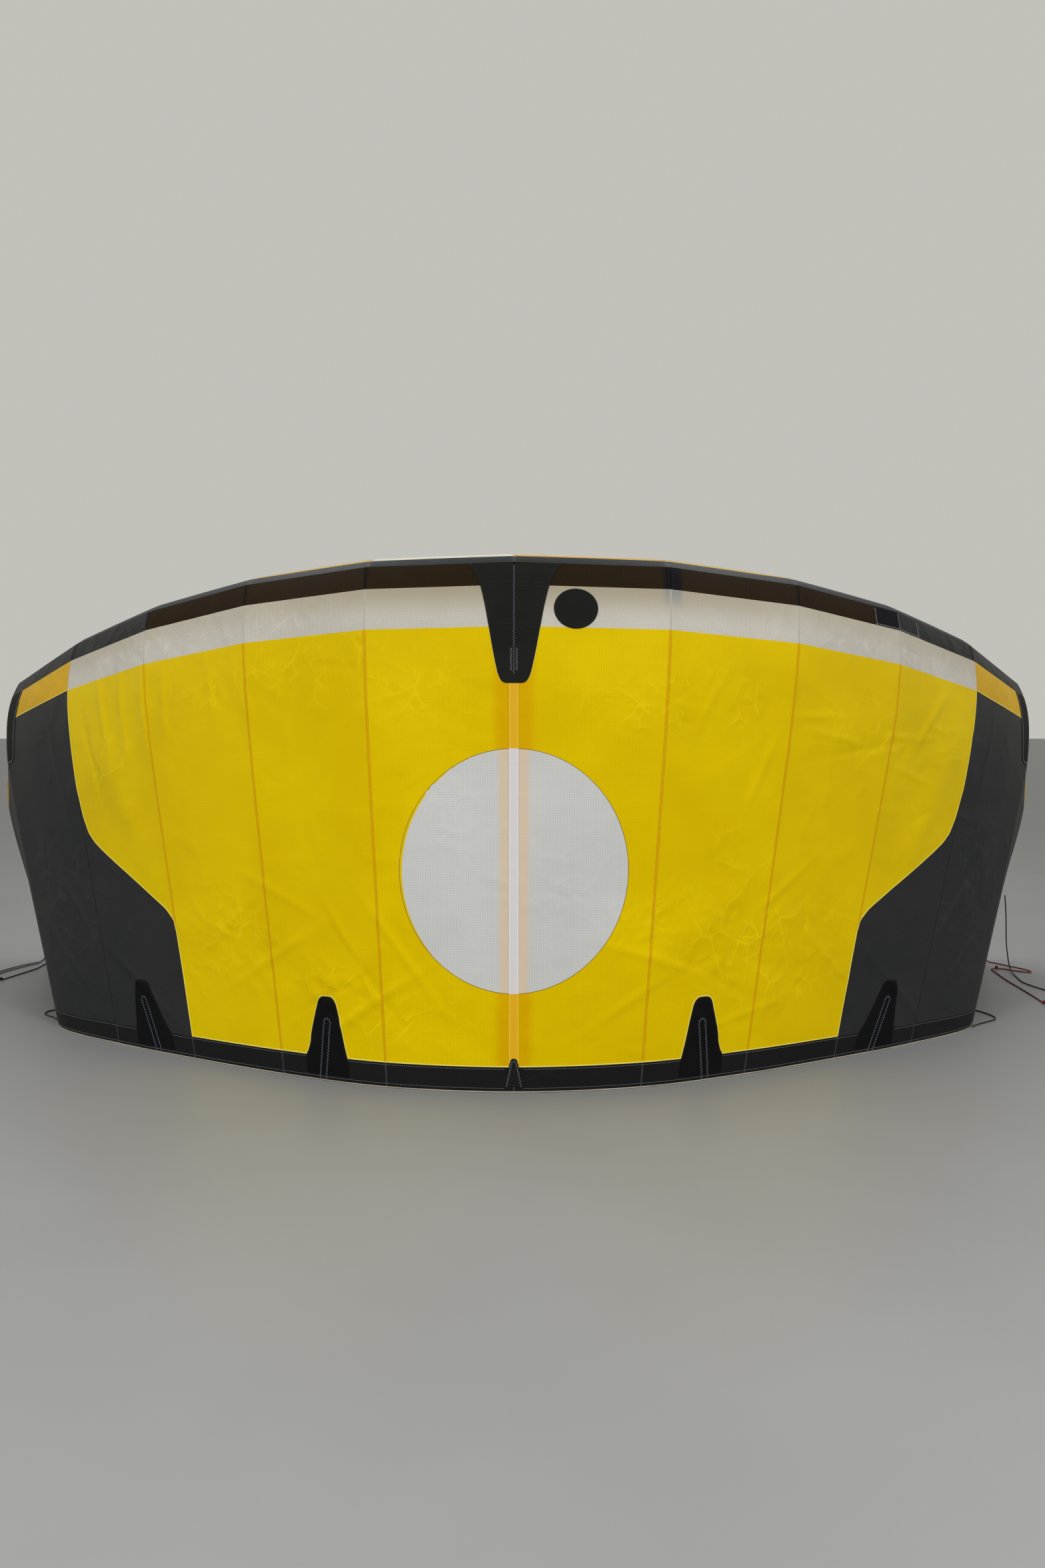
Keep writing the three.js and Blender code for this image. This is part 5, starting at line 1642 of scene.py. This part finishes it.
def addStitches(name, rows, thread, zigzag=True, step=None):
    # rows are (places, height above the middle of the cloth).
    points, normals, edges, start = [], [], [], 0
    for places, height in rows:
        row, normal = stitchPath(places, height + stitching["proud"])
        points.append(row)
        normals.append(normal)
        edges += [(start + index, start + index + 1) for index in range(len(row) - 1)]
        start += len(row)
    mesh = bpy.data.meshes.new(f"{name}_path")
    mesh.from_pydata(np.vstack(points).tolist(), edges, [])
    mesh.attributes.new("clothNormal", "FLOAT_VECTOR", "POINT").data.foreach_set(
        "vector", np.vstack(normals).astype(np.float32).ravel())
    holder = newObject(f"{name}_path", mesh)
    modifier = holder.modifiers.new("stitches", "NODES")
    modifier.node_group = stitchTree
    angle = math.radians(stitching["zigzag"]) if zigzag else 0.0
    share = 1 / math.cos(angle) if zigzag else stitching["straightShare"]
    values = {"Stitch Length": step or stitching["step"], "Thread Radius": stitching["thread"],
              "Zigzag Angle": angle, "Thread Share": share, "Thread": threads[thread]}
    for item in stitchTree.interface.items_tree:
        if item.item_type == "SOCKET" and item.in_out == "INPUT" and item.name in values:
            modifier[item.identifier] = values[item.name]
    bpy.context.view_layer.update()
    shown = holder.evaluated_get(bpy.context.evaluated_depsgraph_get())
    stitched = bpy.data.meshes.new_from_object(shown)
    stitched.name = name
    bpy.data.objects.remove(holder)
    if not stitched.materials:
        stitched.materials.append(threads[thread])
    addPiece(name, stitched)


onPatch = patchLift + cloth["patch"] / 2


def insetPatch(name, side, inset, lowest=0.0, highest=1.0):
    rows = smoothRows(patches[name])
    middle = (rows[:, 1] + rows[:, 2]) / 2
    half = (rows[:, 2] - rows[:, 1]) / 2
    end = rows[0, 0] if name in topPatches else rows[-1, 0]
    away = np.abs(rows[:, 0] - end) * foldChord
    keep = (rows[:, 0] >= lowest) & (rows[:, 0] <= highest) & (away > inset)
    narrow = inset / foldSpan
    half = np.maximum(half - narrow, 0.004)
    inner = np.column_stack([middle - half, rows[:, 0]])[keep]
    outer = np.column_stack([middle + half, rows[:, 0]])[keep]
    return overTheEnd(name, side, inner, outer)


def pocketPath(side, low, high, half):
    # The inverted U of a batten pocket: up one side, over, and down the other.
    turn = np.linspace(math.pi, 0, 13)
    (lowAcross, lowHeight), (highAcross, highHeight) = low, high
    topAcross = highAcross + half * np.cos(turn)
    topHeight = highHeight + half * foldSpan / foldChord * np.sin(turn)
    path = np.vstack([[(lowAcross - half, lowHeight)], np.column_stack([topAcross, topHeight]),
                      [(lowAcross + half, lowHeight)]])
    return path * (side, 1)


def addStitching():
    patchRows, edgeRows, greyRows = [], [], []
    tackAcross, tackLow, tackHigh = stitching["bartack"]
    inset = stitching["inset"]
    for side in (-1, 1):
        for low, high in stitching["pockets"]:
            patchRows.append((pocketPath(side, low, high, stitching["pocketHalf"]), onPatch))
        greyRows.append((insetPatch("strut_strip", side, inset), onPatch))
        for patch in ("batten_patch_inner", "batten_patch_outer"):
            path = insetPatch(patch, side, stitching["battenInset"], stitching["battenLow"])
            edgeRows.append((path, onPatch))
        greyRows.append((uprightPath(tackAcross * side, tackLow, tackHigh), onPatch))
    edgeRows.append((insetPatch("centre_patch", 1, inset), onPatch))
    patchRows.append((insetPatch("centre_hem_patch", 1, inset), onPatch))
    patchRows.append((uprightPath(0, *stitching["middle"]), onPatch))
    angle = np.linspace(0, 2 * math.pi, roundPatch["spokes"] + 1)
    ring = np.stack(circlePlaces(roundPatch["radius"] - inset, angle), axis=-1)
    edgeRows.append((ring, onPatch))
    addStitches("patch_stitches", patchRows, "slate")
    addStitches("patch_edge_stitches", edgeRows, "dark", zigzag=False)
    addStitches("patch_grey_stitches", greyRows, "grey")
    rows = []
    levels, _, reach = np.array(patches["centre_patch"]).T
    for height in stitching["patchLevels"]:
        half = np.interp(height, levels, reach) - 0.02
        rows.append((levelPath(height, -half, half), onPatch))
    addStitches("centre_patch_dark_stitches", rows, "dark")
    seamRows, bandRows, hemRows = [], [], []
    twin, stripTwin = stitching["twinHalf"], stitching["stripTwinHalf"]
    for side in (-1, 1):
        for seam in (1, 2, 3):
            for shift in (-twin, twin):
                bottom = stripTop if seam < 3 else stitching["sidePanelTop"]
                path = uprightPath(side * (seam + shift), bottom + 0.003, bandBottom - 0.003)
                seamRows.append((path, onCloth))
        for seam in (1, 2, 3, 4):
            for shift in (-stripTwin, stripTwin):
                bandRows.append((uprightPath(side * (seam + shift), bandTop + 0.002, 0.998), onCloth))
        for height in stitching["hemLevels"]:
            inner, outer = stitching["hemEnds"]
            hemRows.append((levelPath(height, inner * side, outer * side), onCloth))
    addStitches("yellow_seam_stitches", seamRows, "orange", zigzag=False)
    addStitches("strip_seam_stitches", bandRows, "dark")
    addStitches("hem_stitches", hemRows, "slate", zigzag=False, step=stitching["hemStep"])
    low, high, base = stitching["boxLevels"]
    box = [uprightPath(stitchedBox[part], low, high) for part in ("inner", "seam", "outer")]
    box.append(levelPath(base, stitchedBox["inner"], stitchedBox["outer"]))
    addStitches("strip_box_stitches", [(path, onCloth) for path in box], "grey")


addStitching()
print("stitching made")
